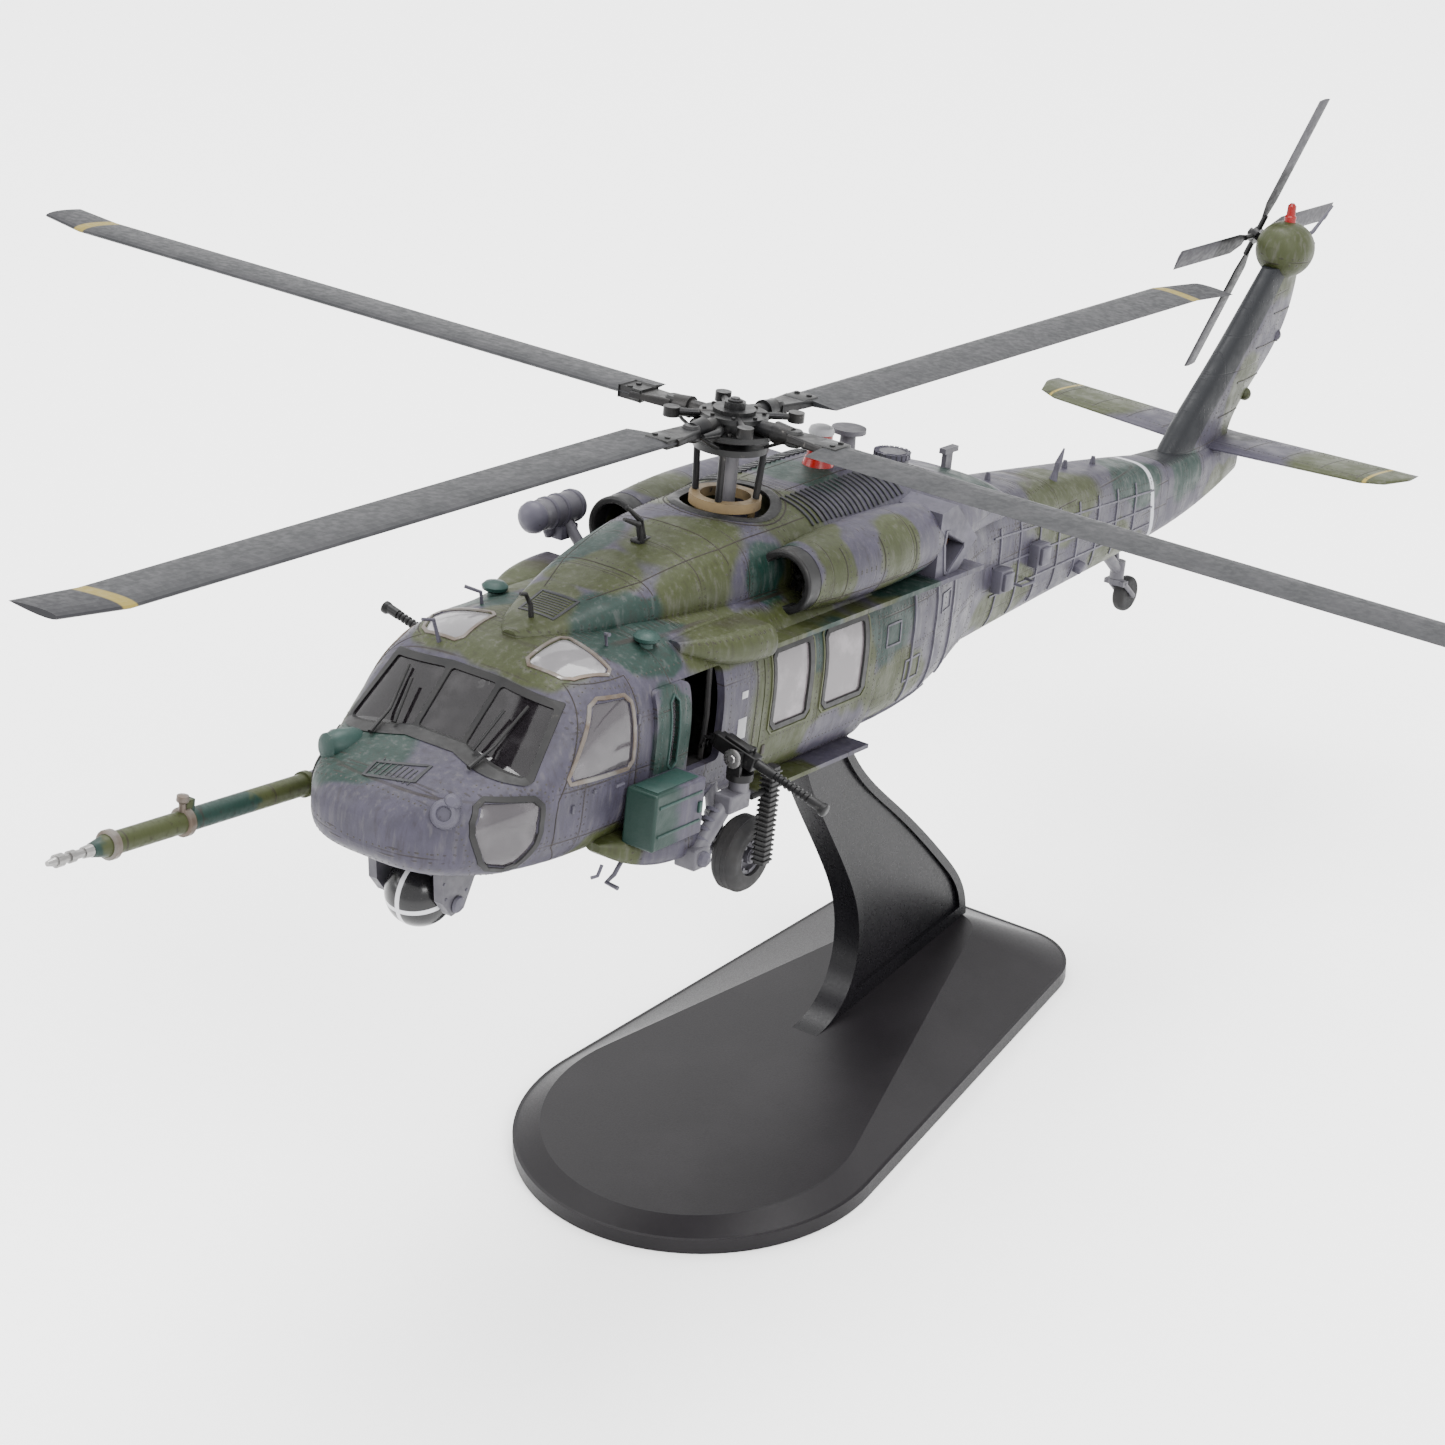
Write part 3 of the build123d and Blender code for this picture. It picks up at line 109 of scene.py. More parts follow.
# ---- material building blocks ----
class Shader:
    """One node material and the few operations that these need."""

    def __init__(self, name):
        self.material = bpy.data.materials.new(name)
        self.material.use_nodes = True
        self.tree = self.material.node_tree
        self.nodes = self.tree.nodes
        self.bsdf = self.nodes["Principled BSDF"]
        self.coords = self.nodes.new("ShaderNodeTexCoord").outputs["Object"]

    def link(self, source, target):
        if isinstance(source, bpy.types.NodeSocket):
            self.tree.links.new(source, target)
        else:
            target.default_value = source

    def heli(self):
        """The helicopter's own coordinates, in millimetres."""
        node = self.nodes.new("ShaderNodeMapping")
        node.inputs["Scale"].default_value = (1000, 1000, 1000)
        node.inputs["Rotation"].default_value = (TILT, 0, 0)
        shift = Matrix.Rotation(TILT, 3, "X") @ HUB
        node.inputs["Location"].default_value = -shift
        self.tree.links.new(self.coords, node.inputs["Vector"])
        return node.outputs[0]

    def vector(self, operation, first, second=None):
        node = self.nodes.new("ShaderNodeVectorMath")
        node.operation = operation
        self.link(first, node.inputs[0])
        if second is not None:
            self.link(second, node.inputs[1])
        return node.outputs["Value" if operation == "LENGTH" else 0]

    def math(self, operation, first, second=0.0):
        node = self.nodes.new("ShaderNodeMath")
        node.operation = operation
        self.link(first, node.inputs[0])
        self.link(second, node.inputs[1])
        return node.outputs[0]

    def step(self, value, low, high, start=0.0, end=1.0):
        """Smooth change from start to end as value goes from low to high."""
        node = self.nodes.new("ShaderNodeMapRange")
        node.interpolation_type = "SMOOTHSTEP"
        self.link(value, node.inputs[0])
        for index, number in enumerate((low, high, start, end)):
            node.inputs[index + 1].default_value = number
        return node.outputs[0]

    def noise(self, scale, detail=3.0, vector=None, output=0, rough=0.55):
        node = self.nodes.new("ShaderNodeTexNoise")
        node.inputs["Scale"].default_value = scale
        node.inputs["Detail"].default_value = detail
        node.inputs["Roughness"].default_value = rough
        self.tree.links.new(vector or self.coords, node.inputs["Vector"])
        return node.outputs[output]

    def mix(self, factor, first, second):
        node = self.nodes.new("ShaderNodeMix")
        node.data_type = "RGBA"
        self.link(factor, node.inputs[0])
        for value, target in ((first, node.inputs[6]), (second, node.inputs[7])):
            self.link(value if isinstance(value, bpy.types.NodeSocket) else (*value, 1.0), target)
        return node.outputs[2]

    def split(self, vector):
        node = self.nodes.new("ShaderNodeSeparateXYZ")
        self.tree.links.new(vector, node.inputs[0])
        return node.outputs

    def bump(self, height, strength, distance):
        node = self.nodes.new("ShaderNodeBump")
        node.inputs["Strength"].default_value = strength
        node.inputs["Distance"].default_value = distance
        self.tree.links.new(height, node.inputs["Height"])
        self.tree.links.new(node.outputs[0], self.bsdf.inputs["Normal"])

    def finish(self, colour, rough, metal=0.0, specular=0.22):
        self.link(colour if isinstance(colour, bpy.types.NodeSocket) else (*colour, 1.0),
                  self.bsdf.inputs["Base Color"])
        self.link(rough, self.bsdf.inputs["Roughness"])
        self.bsdf.inputs["Metallic"].default_value = metal
        self.bsdf.inputs["Specular IOR Level"].default_value = specular
        return self.material


SHADE = 0.42                   # how far the colours of plain materials are taken down


def plain(name, base, second, rough, metal=0.0, scale=900.0, bump=0.15, wear=None):
    """Mottled material: base and second colours, grain bump, and worn specks of a third colour when given."""
    sh = Shader(name)
    base, second, wear = [tone and tuple(SHADE * v for v in tone) for tone in (base, second, wear)]
    patches = sh.step(sh.noise(scale * 0.25, 4.0), 0.35, 0.68)
    colour = sh.mix(patches, base, second)
    grain = sh.noise(scale, 5.0)
    if wear:
        specks = sh.step(sh.noise(scale * 0.9, 6.0, rough=0.7), 0.62, 0.72)
        colour = sh.mix(specks, colour, wear)
    sh.bump(grain, bump, 0.00005)
    return sh.finish(colour, sh.step(grain, 0.3, 0.7, *rough), metal)


GREY = (0.027, 0.0245, 0.037)
OLIVE = (0.0215, 0.026, 0.0072)
TEAL = (0.0036, 0.0150, 0.0115)
WASH = (0.010, 0.0065, 0.0045)

# Camouflage patches: colour, centre and half sizes, in the order that they are sprayed.
PATCHES = [
    # nose and cockpit
    (TEAL, (-9, -57, -29), (8, 10, 5)), (OLIVE, (-15, -48, -33), (5, 8, 7)),
    (OLIVE, (0, -43, -18), (13.5, 5.5, 4)), (OLIVE, (14, -40, -40), (6, 6, 4.0)),
    (TEAL, (-11, -33, -18), (9, 4.5, 4)), (OLIVE, (-13, -26, -19), (6, 4, 4)),
    (TEAL, (12, -31, -18), (6.5, 5.0, 3.4)), (TEAL, (17, -31, -28), (4, 3.6, 7)),
    (OLIVE, (-16, -36, -37), (5, 7, 5)),
    # cowling
    (OLIVE, (0, -36, -16), (8, 7, 5)), (TEAL, (7, -27, -16.8), (5, 10, 2.4)),
    (OLIVE, (4, -14, -10), (7, 9, 6)), (OLIVE, (8, -17, -16), (6, 6, 4.6)),
    (OLIVE, (0, -26, -12), (7, 5, 4)), (TEAL, (10, -5, -16), (4, 3.6, 5)),
    (TEAL, (-7, -20, -13), (5, 7, 5)), (OLIVE, (-6, 2, -9), (6, 8, 5)), (OLIVE, (8, 3, -12), (6, 5, 6)),
    (TEAL, (0, 15, -9), (6, 5.0, 3)), (OLIVE, (-2, 31, -10), (8, 6, 4)), (TEAL, (6, 47, -16), (6, 4, 4)),
    # engines, fairings and doors
    (OLIVE, (14, 1, -16), (7, 4, 8)), (OLIVE, (16, 14, -16), (5, 4, 7)), (OLIVE, (-14, 4, -16), (7, 6, 8)),
    (OLIVE, (14, -17, -20), (6, 9, 3.6)), (OLIVE, (-14, -19, -20), (6, 5, 3.6)),
    (OLIVE, (16, -5, -30), (5, 9.6, 14)), (OLIVE, (16, 7.5, -29), (5, 6.5, 9)),
    (TEAL, (17, -1, -23.5), (4, 4.2, 4)), (GREY, (17, 4.5, -37.0), (4, 6.0, 4)),
    (OLIVE, (-16, 5, -28), (5, 9, 9)), (TEAL, (-16, -6, -36), (5, 7, 6)),
    # rear body and boom
    (TEAL, (14, 18, -24), (6, 7, 7)), (OLIVE, (14, 20, -34), (6, 8, 4.6)), (TEAL, (-14, 22, -30), (6, 9, 8)),
    (OLIVE, (-10, 40, -28), (8, 8, 9)), (OLIVE, (8, 58, -34), (6, 9, 4)), (OLIVE, (6, 75, -24), (8, 11, 5)),
    (OLIVE, (-6, 82, -31), (6, 10, 6)), (TEAL, (4, 98, -25), (6, 8, 4)), (OLIVE, (4, 93, -34), (5, 9, 3)),
    (TEAL, (0, 114, -27), (6, 6, 6)), (OLIVE, (-4, 110, -33), (5, 6, 4)), (OLIVE, (2, 133, -20), (6, 6, 7)),
    (OLIVE, (0, 142, 1), (7, 9, 7)), (OLIVE, (22, 130, -25), (9, 9, 4)), (OLIVE, (-22, 130, -25), (9, 9, 4)),
    # sponsons, tail end
    (TEAL, (-18, -36, -40), (4, 4, 4)), (OLIVE, (0, 128, -31), (5, 8, 3)),
]


def camouflage(name, low, high, extra, line_step):
    """Sprayed camouflage with washed panel lines, rivets and worn paint, between two places along y."""
    sh = Shader(name)
    point = sh.heli()
    warp = sh.vector("SUBTRACT", sh.noise(0.11, 2.0, point, 1), (0.5, 0.5, 0.5))
    soft = sh.vector("ADD", point, sh.vector("MULTIPLY", warp, (7, 9, 7)))
    tone = sh.noise(0.35, 5.0, point)
    colour = sh.mix(sh.step(tone, 0.35, 0.7), tuple(0.86 * v for v in GREY), tuple(1.2 * v for v in GREY))
    for shade, centre, reach in PATCHES:
        if centre[1] + reach[1] < low or centre[1] - reach[1] > high:
            continue
        away = sh.vector("SUBTRACT", soft, centre)
        away = sh.vector("MULTIPLY", away, tuple(1 / r for r in reach))
        inside = sh.step(sh.vector("LENGTH", away), 0.9, 1.12, 1.0, 0.0)
        colour = sh.mix(inside, colour, shade)
    # chalky fading and streaks running down
    x, y, z = sh.split(point)
    streak = sh.noise(1.0, 4.0, sh.vector("MULTIPLY", point, (1.4, 1.4, 0.22)))
    colour = sh.mix(sh.math("MULTIPLY", sh.step(streak, 0.5, 0.72), 0.30), colour, (0.075, 0.07, 0.07))
    colour = sh.mix(sh.math("MULTIPLY", sh.step(streak, 0.5, 0.28), 0.35), colour, WASH)
    # fine panel lines on a grid, with rivets beside them
    along = sh.math("PINGPONG", y, line_step[0] / 2)
    across = sh.math("PINGPONG", z, line_step[1] / 2)
    line = sh.math("MINIMUM", along, across)
    seam = sh.step(line, 0.05, 0.14, 1.0, 0.0)
    dot_y = sh.math("PINGPONG", y, 0.45)
    dot_z = sh.math("PINGPONG", z, 0.45)
    near_y = sh.math("ABSOLUTE", sh.math("SUBTRACT", along, 0.5))
    near_z = sh.math("ABSOLUTE", sh.math("SUBTRACT", across, 0.5))
    rivet_a = sh.math("ADD", sh.math("MULTIPLY", near_y, near_y), sh.math("MULTIPLY", dot_z, dot_z))
    rivet_b = sh.math("ADD", sh.math("MULTIPLY", near_z, near_z), sh.math("MULTIPLY", dot_y, dot_y))
    rivets = sh.step(sh.math("MINIMUM", rivet_a, rivet_b), 0.006, 0.028, 1.0, 0.0)
    patchy = sh.step(sh.noise(0.12, 2.0, point), 0.4, 0.6)
    seam = sh.math("MULTIPLY", seam, patchy)
    rivets = sh.math("MULTIPLY", rivets, sh.step(sh.noise(0.09, 1.0, point), 0.38, 0.5))
    colour = sh.mix(sh.math("MULTIPLY", seam, 0.8), colour, WASH)
    colour = sh.mix(sh.math("MULTIPLY", rivets, 0.65), colour, (0.012, 0.009, 0.007))
    if extra:
        colour = extra(sh, colour, point, x, y, z)
    chips = sh.step(sh.noise(2.6, 8.0, point, rough=0.75), 0.69, 0.73)
    colour = sh.mix(sh.math("MULTIPLY", chips, 0.5), colour, (0.12, 0.115, 0.115))
    height = sh.math("SUBTRACT", sh.math("MULTIPLY", rivets, 0.7), seam)
    height = sh.math("ADD", height, sh.math("MULTIPLY", sh.noise(3.0, 4.0, point), 0.35))
    sh.bump(height, 0.5, 0.00012)
    return sh.finish(colour, sh.step(tone, 0.3, 0.7, 0.42, 0.62))


def band(sh, colour, value, low, high, shade, soft):
    inside = sh.math("MULTIPLY", sh.step(value, low - soft, low + soft),
                     sh.step(value, high - soft, high + soft, 1.0, 0.0))
    return sh.mix(inside, colour, shade)


def boom_marks(sh, colour, point, x, y, z):
    slanted = sh.math("ADD", y, sh.math("MULTIPLY", z, 0.25))
    return band(sh, colour, slanted, 95.2, 96.3, (0.30, 0.305, 0.33), 0.12)


def fin_marks(sh, colour, point, x, y, z):
    lead = sh.step(sh.math("SUBTRACT", y, sh.math("MULTIPLY", z, 1.03)), 143.6, 144.0, 1.0, 0.0)
    return sh.mix(sh.math("MULTIPLY", lead, sh.step(z, -26.0, -25.0)), colour, (0.0035, 0.0042, 0.0058))


def stabilator_marks(sh, colour, point, x, y, z):
    spread = sh.math("ABSOLUTE", x)
    colour = band(sh, colour, spread, 26.0, 26.5, (0.16, 0.12, 0.02), 0.1)
    return sh.mix(sh.step(spread, 12.0, 15.0, 0.7, 0.0), colour, GREY)


def box_marks(sh, colour, point, x, y, z):
    wavy = sh.math("ADD", y, sh.math("MULTIPLY", sh.noise(0.4, 2.0, point), 3.0))
    return sh.mix(sh.step(wavy, -34.0, -32.0, 1.0, 0.0), colour, TEAL)


camo_front = camouflage("camouflage_front", -70, 60, None, (7.6, 6.1))
camo_mid = camouflage("camouflage_cowling", -45, 60, None, (8.4, 9.0))
camo_rear = camouflage("camouflage_boom", 40, 125, boom_marks, (6.6, 3.4))
camo_fin = camouflage("camouflage_fin", 100, 160, fin_marks, (6.0, 5.0))
camo_ball = camouflage("camouflage_gearbox", 130, 160, None, (50.0, 50.0))
camo_stab = camouflage("camouflage_stabilator", 110, 150, stabilator_marks, (6.0, 50.0))
camo_doors = camouflage("camouflage_doors", -15, 15, None, (50.0, 50.0))
camo_box = camouflage("ammunition_box_paint", 200, 201, box_marks, (50.0, 50.0))


# ---- other materials ----
def stand_paint():
    sh = Shader("stand_black")
    grain = sh.noise(5200, 3.0)
    sh.bump(grain, 0.22, 0.00005)
    cloud = sh.step(sh.noise(60, 3.0), 0.4, 0.7)
    colour = sh.mix(cloud, (0.0050, 0.0042, 0.0052), (0.0078, 0.0068, 0.0080))
    return sh.finish(colour, sh.step(grain, 0.3, 0.7, 0.36, 0.48), 0.0, 0.17)


def arm_paint():
    sh = Shader("arm_black")
    grain = sh.noise(2600, 3.0)
    sh.bump(grain, 0.06, 0.00004)
    cloud = sh.step(sh.noise(80, 2.0), 0.4, 0.6)
    colour = sh.mix(cloud, (0.0028, 0.0027, 0.0034), (0.0046, 0.0042, 0.0052))
    return sh.finish(colour, sh.step(grain, 0.3, 0.7, 0.26, 0.36), 0.0, 0.14)


def worn(name, base, second, rough, wear, metal=0.0, **more):
    return plain(name, base, second, rough, metal, wear=wear, **more)


GRIME = (0.03, 0.022, 0.018)
stand_black = stand_paint()
arm_black = arm_paint()
black = worn("frame_black", (0.012, 0.012, 0.013), (0.022, 0.021, 0.021), (0.4, 0.55), (0.06, 0.055, 0.05))
interior = plain("interior_dark", (0.010, 0.010, 0.011), (0.025, 0.023, 0.022), (0.6, 0.8))
steel = worn("rotor_metal", (0.020, 0.020, 0.022), (0.045, 0.043, 0.042), (0.3, 0.5), (0.16, 0.15, 0.14), 0.6)
hub_black = worn("hub_black", (0.010, 0.010, 0.011), (0.020, 0.020, 0.020), (0.3, 0.45), (0.07, 0.065, 0.06))
mast_grey = plain("mast_grey", (0.16, 0.155, 0.17), (0.22, 0.21, 0.22), (0.35, 0.5), 0.3)
tan = worn("swashplate_tan", (0.34, 0.24, 0.12), (0.22, 0.16, 0.09), (0.5, 0.65), (0.05, 0.04, 0.03))
tyre = plain("tyre", (0.022, 0.022, 0.024), (0.040, 0.038, 0.038), (0.65, 0.85), bump=0.3)
gear = worn("gear_grey", (0.15, 0.145, 0.165), (0.105, 0.10, 0.12), (0.4, 0.55), (0.04, 0.03, 0.025))
gun_metal = worn("gun_metal", (0.006, 0.006, 0.007), (0.014, 0.0135, 0.014), (0.36, 0.5),
                 (0.07, 0.067, 0.065), 0.2)
silver = plain("bare_silver", (0.55, 0.54, 0.53), (0.42, 0.41, 0.40), (0.22, 0.4), 0.9, bump=0.1)
exhaust_brown = worn("exhaust_brown", (0.30, 0.12, 0.04), (0.10, 0.05, 0.03), (0.4, 0.6),
                     (0.02, 0.015, 0.012), 0.3, scale=700)
red = plain("beacon_red", (0.42, 0.015, 0.012), (0.30, 0.010, 0.010), (0.15, 0.3), bump=0.05)
pale = plain("pale_cap", (0.60, 0.60, 0.62), (0.45, 0.45, 0.47), (0.35, 0.5))
louvre_dark = plain("louvre_dark", (0.03, 0.032, 0.036), (0.05, 0.05, 0.055), (0.4, 0.6))
trim_worn = worn("worn_trim", (0.16, 0.12, 0.09), (0.27, 0.255, 0.24), (0.35, 0.5), (0.8, 0.78, 0.75), 0.4)
rivet_paint = plain("rivet_wash", (0.045, 0.038, 0.032), (0.07, 0.065, 0.06), (0.5, 0.6))
seam_wash = plain("seam_wash", (0.020, 0.014, 0.011), (0.035, 0.025, 0.018), (0.6, 0.7))
# Raised parts: lighter copies of the camouflage grey, olive and teal, a painted highlight on raised ribs and
# fittings; their worn specks are real grime and wear.
raised_grey_painted_highlight = worn("raised_grey_painted_highlight", (0.115, 0.108, 0.145), (0.085, 0.080, 0.105), (0.42, 0.58), GRIME)
raised_olive_painted_highlight = worn("raised_olive_painted_highlight", (0.080, 0.090, 0.035), (0.062, 0.070, 0.026), (0.42, 0.58), GRIME)
raised_teal_painted_highlight = worn("raised_teal_painted_highlight", (0.020, 0.064, 0.054), (0.016, 0.050, 0.042), (0.42, 0.58),
                   (0.10, 0.11, 0.10))
seat_olive = plain("seat_olive", (0.04, 0.045, 0.025), (0.06, 0.06, 0.045), (0.6, 0.8))


def blade_finish(sh, colour, point):
    sh.bump(sh.noise(4.0, 3.0, point), 0.1, 0.00005)
    return sh.finish(colour, sh.step(sh.noise(1.2, 3.0, point), 0.3, 0.7, 0.42, 0.58), 0.0, 0.14)


def main_blade_paint():
    sh = Shader("main_blade_grey")
    point = sh.heli()
    reach = sh.vector("LENGTH", sh.vector("MULTIPLY", point, (1, 1, 0)))
    cloud = sh.step(sh.noise(0.25, 4.0, point), 0.4, 0.65)
    colour = sh.mix(cloud, (0.013, 0.0135, 0.015), (0.020, 0.020, 0.022))
    colour = sh.mix(sh.step(reach, 104.6, 104.9), colour, (0.13, 0.10, 0.02))
    return blade_finish(sh, sh.mix(sh.step(reach, 106.4, 106.7), colour, (0.011, 0.011, 0.013)), point)


def tail_blade_paint():
    sh = Shader("tail_blade_grey")
    point = sh.heli()
    reach = sh.vector("LENGTH", sh.vector("SUBTRACT", point, TAIL_HUB))
    colour = sh.mix(sh.step(reach, 11.5, 12.3), (0.005, 0.005, 0.006), (0.030, 0.029, 0.034))
    stain = sh.step(sh.noise(0.5, 5.0, point), 0.5, 0.75, 0.0, 0.4)
    return blade_finish(sh, sh.mix(stain, colour, (0.04, 0.038, 0.04)), point)


def sensor_paint():
    """Black gloss with a white cross on the ball."""
    sh = Shader("sensor_black")
    point = sh.vector("SUBTRACT", sh.heli(), BALL)
    x, y, z = sh.split(point)
    tipped = sh.math("ADD", z, sh.math("MULTIPLY", y, -0.35))
    bands = [sh.step(sh.math("ABSOLUTE", value), 0.27, 0.34, 1.0, 0.0) for value in (x, tipped)]
    on_ball = sh.step(sh.math("ABSOLUTE", x), 3.8, 3.9, 1.0, 0.0)
    stripes = sh.math("MULTIPLY", sh.math("MAXIMUM", *bands), on_ball)
    grain = sh.noise(2.0, 4.0, point)
    colour = sh.mix(grain, (0.004, 0.004, 0.005), (0.009, 0.0085, 0.009))
    sh.bump(grain, 0.08, 0.00005)
    colour = sh.mix(stripes, colour, (0.42, 0.42, 0.44))
    return sh.finish(colour, sh.step(grain, 0.3, 0.7, 0.16, 0.28), 0.0, 0.3)


def probe_coat():
    """Camouflage in bands along the probe, with dark rings."""
    sh = Shader("probe_paint")
    point = sh.heli()
    along = sh.split(point)[1]
    wavy = sh.math("ADD", along, sh.math("MULTIPLY", sh.noise(0.35, 2.0, point), 6.0))
    colour = TEAL
    for start, shade in ((-84.5, OLIVE), (-70.5, TEAL), (-60.5, OLIVE), (-49.5, GREY)):
        colour = sh.mix(sh.step(wavy, start, start + 1.0), colour, shade)
    dirt = sh.noise(1.5, 5.0, point)
    colour = sh.mix(sh.step(dirt, 0.56, 0.72, 0.0, 0.6), colour, WASH)
    colour = sh.mix(sh.step(sh.math("PINGPONG", along, 6.0), 0.08, 0.2, 0.7, 0.0), colour, WASH)
    sh.bump(dirt, 0.2, 0.0001)
    return sh.finish(colour, sh.step(dirt, 0.3, 0.7, 0.42, 0.6))


main_blade = main_blade_paint()
tail_blade = tail_blade_paint()
sensor_black = sensor_paint()
probe_paint = probe_coat()


def glass(name, tint, alpha, rough, dirt=0.25):
    sh = Shader(name)
    smear = sh.noise(220, 5.0)
    sh.bump(sh.noise(90, 2.0), 0.05, 0.0002)
    smeared = tuple(2.2 * tone + 0.03 for tone in tint)
    material = sh.finish(sh.mix(sh.step(smear, 0.5, 0.75, 0.0, dirt), tint, smeared),
                         sh.step(smear, 0.3, 0.7, rough, rough + 0.08), 0.0, 0.5)
    sh.link(sh.step(smear, 0.35, 0.75, alpha, min(1.0, alpha + 0.12)), sh.bsdf.inputs["Alpha"])
    material.blend_method = "BLEND"
    return material


dark_glass = glass("dark_glass", (0.006, 0.005, 0.006), 0.84, 0.03)
clear_glass = glass("clear_glass", (0.040, 0.036, 0.040), 0.80, 0.05)
door_glass = glass("door_glass", (0.075, 0.066, 0.071), 0.94, 0.12, 0.5)
roof_glass = glass("roof_glass", (0.13, 0.125, 0.13), 0.88, 0.05, 0.6)


def wear_material(node, material):
    """Gives a CAD node its material."""
    mesh = NODES[node].data
    if not mesh.materials:
        mesh.materials.append(material)
    for index in range(len(mesh.materials)):
        mesh.materials[index] = material


MATERIALS = {
    camo_front: "fuselage_shell door_rails roof_fairings sponsons gunner_window_frames",
    camo_mid: "rotor_cowling engine_nacelles",
    camo_rear: "tail_boom",
    camo_fin: "tail_pylon",
    camo_ball: "tail_gearbox_fairing",
    camo_stab: "stabilator",
    camo_doors: "port_cabin_door starboard_cabin_door",
    stand_black: "stand_base",
    arm_black: "stand_arm",
    black: "windscreen_frame intake_rings wipers",
    interior: "cabin_floor instrument_panel cockpit_seats",
    steel: "vibration_absorber pushrods blade_cuffs tail_rotor_shaft",
    hub_black: "rotor_hub tail_rotor_hub",
    mast_grey: "rotor_mast",
    tan: "swashplate_ring",
    tyre: "port_tyre starboard_tyre tail_wheel",
    gear: "port_wheel_hub starboard_wheel_hub main_gear_legs tail_gear_leg tail_fork "
          "roof_antennas rescue_hoist sensor_bracket gun_arms",
    gun_metal: "port_gun starboard_gun port_gun_yoke starboard_gun_yoke ammunition_chutes",
    camo_box: "ammunition_boxes",
    silver: "probe_nozzle",
    raised_grey_painted_highlight: "exhaust_boxes",
    red: "beacon",
    main_blade: "main_blades",
    tail_blade: "tail_rotor_blades",
    sensor_black: "sensor_ball",
    probe_paint: "refuelling_probe",
    dark_glass: "windscreen_glass",
    clear_glass: "cockpit_side_glass gunner_window_glass",
    roof_glass: "roof_glass",
    door_glass: "port_door_glass starboard_door_glass",
}
dressed = set()
for material, names in MATERIALS.items():
    for node in names.split():
        wear_material(node, material)
        dressed.add(node)
for node in NODES:
    if node not in dressed:
        print("UNDRESSED", node)


# ---- mesh building blocks ----
def piece(material, body="airframe", prefix=""):
    """Decorator: makes a new piece, named after a function that fills a bmesh, and riding on a body."""
    def make(fill):
        name = prefix + fill.__name__
        bm = bmesh.new()
        fill(bm)
        bmesh.ops.recalc_face_normals(bm, faces=bm.faces)
        mesh = bpy.data.meshes.new(name)
        bm.to_mesh(mesh)
        bm.free()
        mesh.materials.append(material)
        for face in mesh.polygons:
            face.use_smooth = True
        mesh.set_sharp_from_angle(angle=SHARP)
        obj = bpy.data.objects.new(name, mesh)
        bpy.context.scene.collection.objects.link(obj)
        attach(obj, body)
    return make


def frame_at(direction):
    direction = direction.normalized()
    side = direction.cross(Vector((0, 0, 1)) if abs(direction.z) < 0.9 else Vector((1, 0, 0))).normalized()
    return side, direction.cross(side)


def ring(bm, centre, side, other, radius, sides):
    """Circle of new vertices, with its radius in mm."""
    turns = [2 * pi * k / sides for k in range(sides)]
    return [bm.verts.new(centre + (side * cos(turn) + other * sin(turn)) * radius * MM) for turn in turns]


def strip(bm, first, second):
    """Faces between two rows of vertices."""
    for k in range(len(first) - 1):
        bm.faces.new((first[k], first[k + 1], second[k + 1], second[k]))


def skinned(bm, rings):
    """Skin through rings, closed at both ends."""
    for first, second in zip(rings, rings[1:]):
        strip(bm, first + first[:1], second + second[:1])
    bm.faces.new(rings[0])
    bm.faces.new(rings[-1])


def tube(bm, points, radii, sides=10):
    """Tube through points (metres) with one radius, or a radius at each (mm)."""
    rings = []
    for index, point in enumerate(points):
        ahead = points[min(index + 1, len(points) - 1)] - points[max(index - 1, 0)]
        radius = radii[index] if isinstance(radii, list) else radii
        rings.append(ring(bm, point, *frame_at(ahead), radius, sides))
    skinned(bm, rings)


def lathe(bm, origin, axis, profile, sides=20):
    """Turned shape: profile of (mm along the axis, radius in mm)."""
    axis = axis.normalized()
    side, other = frame_at(axis)
    skinned(bm, [ring(bm, origin + axis * (along * MM), side, other, radius, sides)
                 for along, radius in profile])


def brick(bm, centre, size, bevel=0.12, axes=(PORT, AFT, UP)):
    """Bevelled box: centre in metres, three unit axes, size in mm."""
    built = bmesh.ops.create_cube(bm, size=1.0)["verts"]
    for vert in built:
        local = Vector(vert.co)
        vert.co = centre + sum((axes[k] * (local[k] * size[k] * MM) for k in range(3)), Vector())
    edges = list({edge for vert in built for edge in vert.link_edges})
    reach = min(bevel, 0.35 * min(size)) * MM
    bmesh.ops.bevel(bm, geom=edges, offset=reach, segments=2, affect="EDGES", profile=0.5)


def on_skin(nodes, x, y, z, direction):
    """Point and normal where a line in the helicopter's frame first meets one of the nodes."""
    start = H(x, y, z)
    casts = [NODES[node].ray_cast(start, D(*direction).normalized()) for node in nodes]
    met = [(place, normal) for hit, place, normal, _ in casts if hit]
    return min(met, key=lambda found: (found[0] - start).length, default=(None, None))


def from_side(nodes, side):
    return lambda y, z: on_skin(nodes, side * 45, y, z, (-side, 0, 0))


def both_sides(nodes):
    return [(side, from_side(nodes, side)) for side in SIDES.values()]


def from_top(nodes):
    return lambda x, y: on_skin(nodes, x, y, 12, (0, 0, -1))


def from_front(nodes):
    return lambda x, z: on_skin(nodes, x, -90, z, (0, 1, 0))


def between(points, pitch, closed=False):
    """Even points along a line of 2-D points."""
    track = list(points) + ([points[0]] if closed else [])
    found = []
    for (x, y), (end_x, end_y) in zip(track, track[1:]):
        length = ((end_x - x) ** 2 + (end_y - y) ** 2) ** 0.5
        count = max(1, round(length / pitch))
        found += [(x + (end_x - x) * k / count, y + (end_y - y) * k / count) for k in range(count)]
    if not closed:
        found.append(track[-1])
    return found


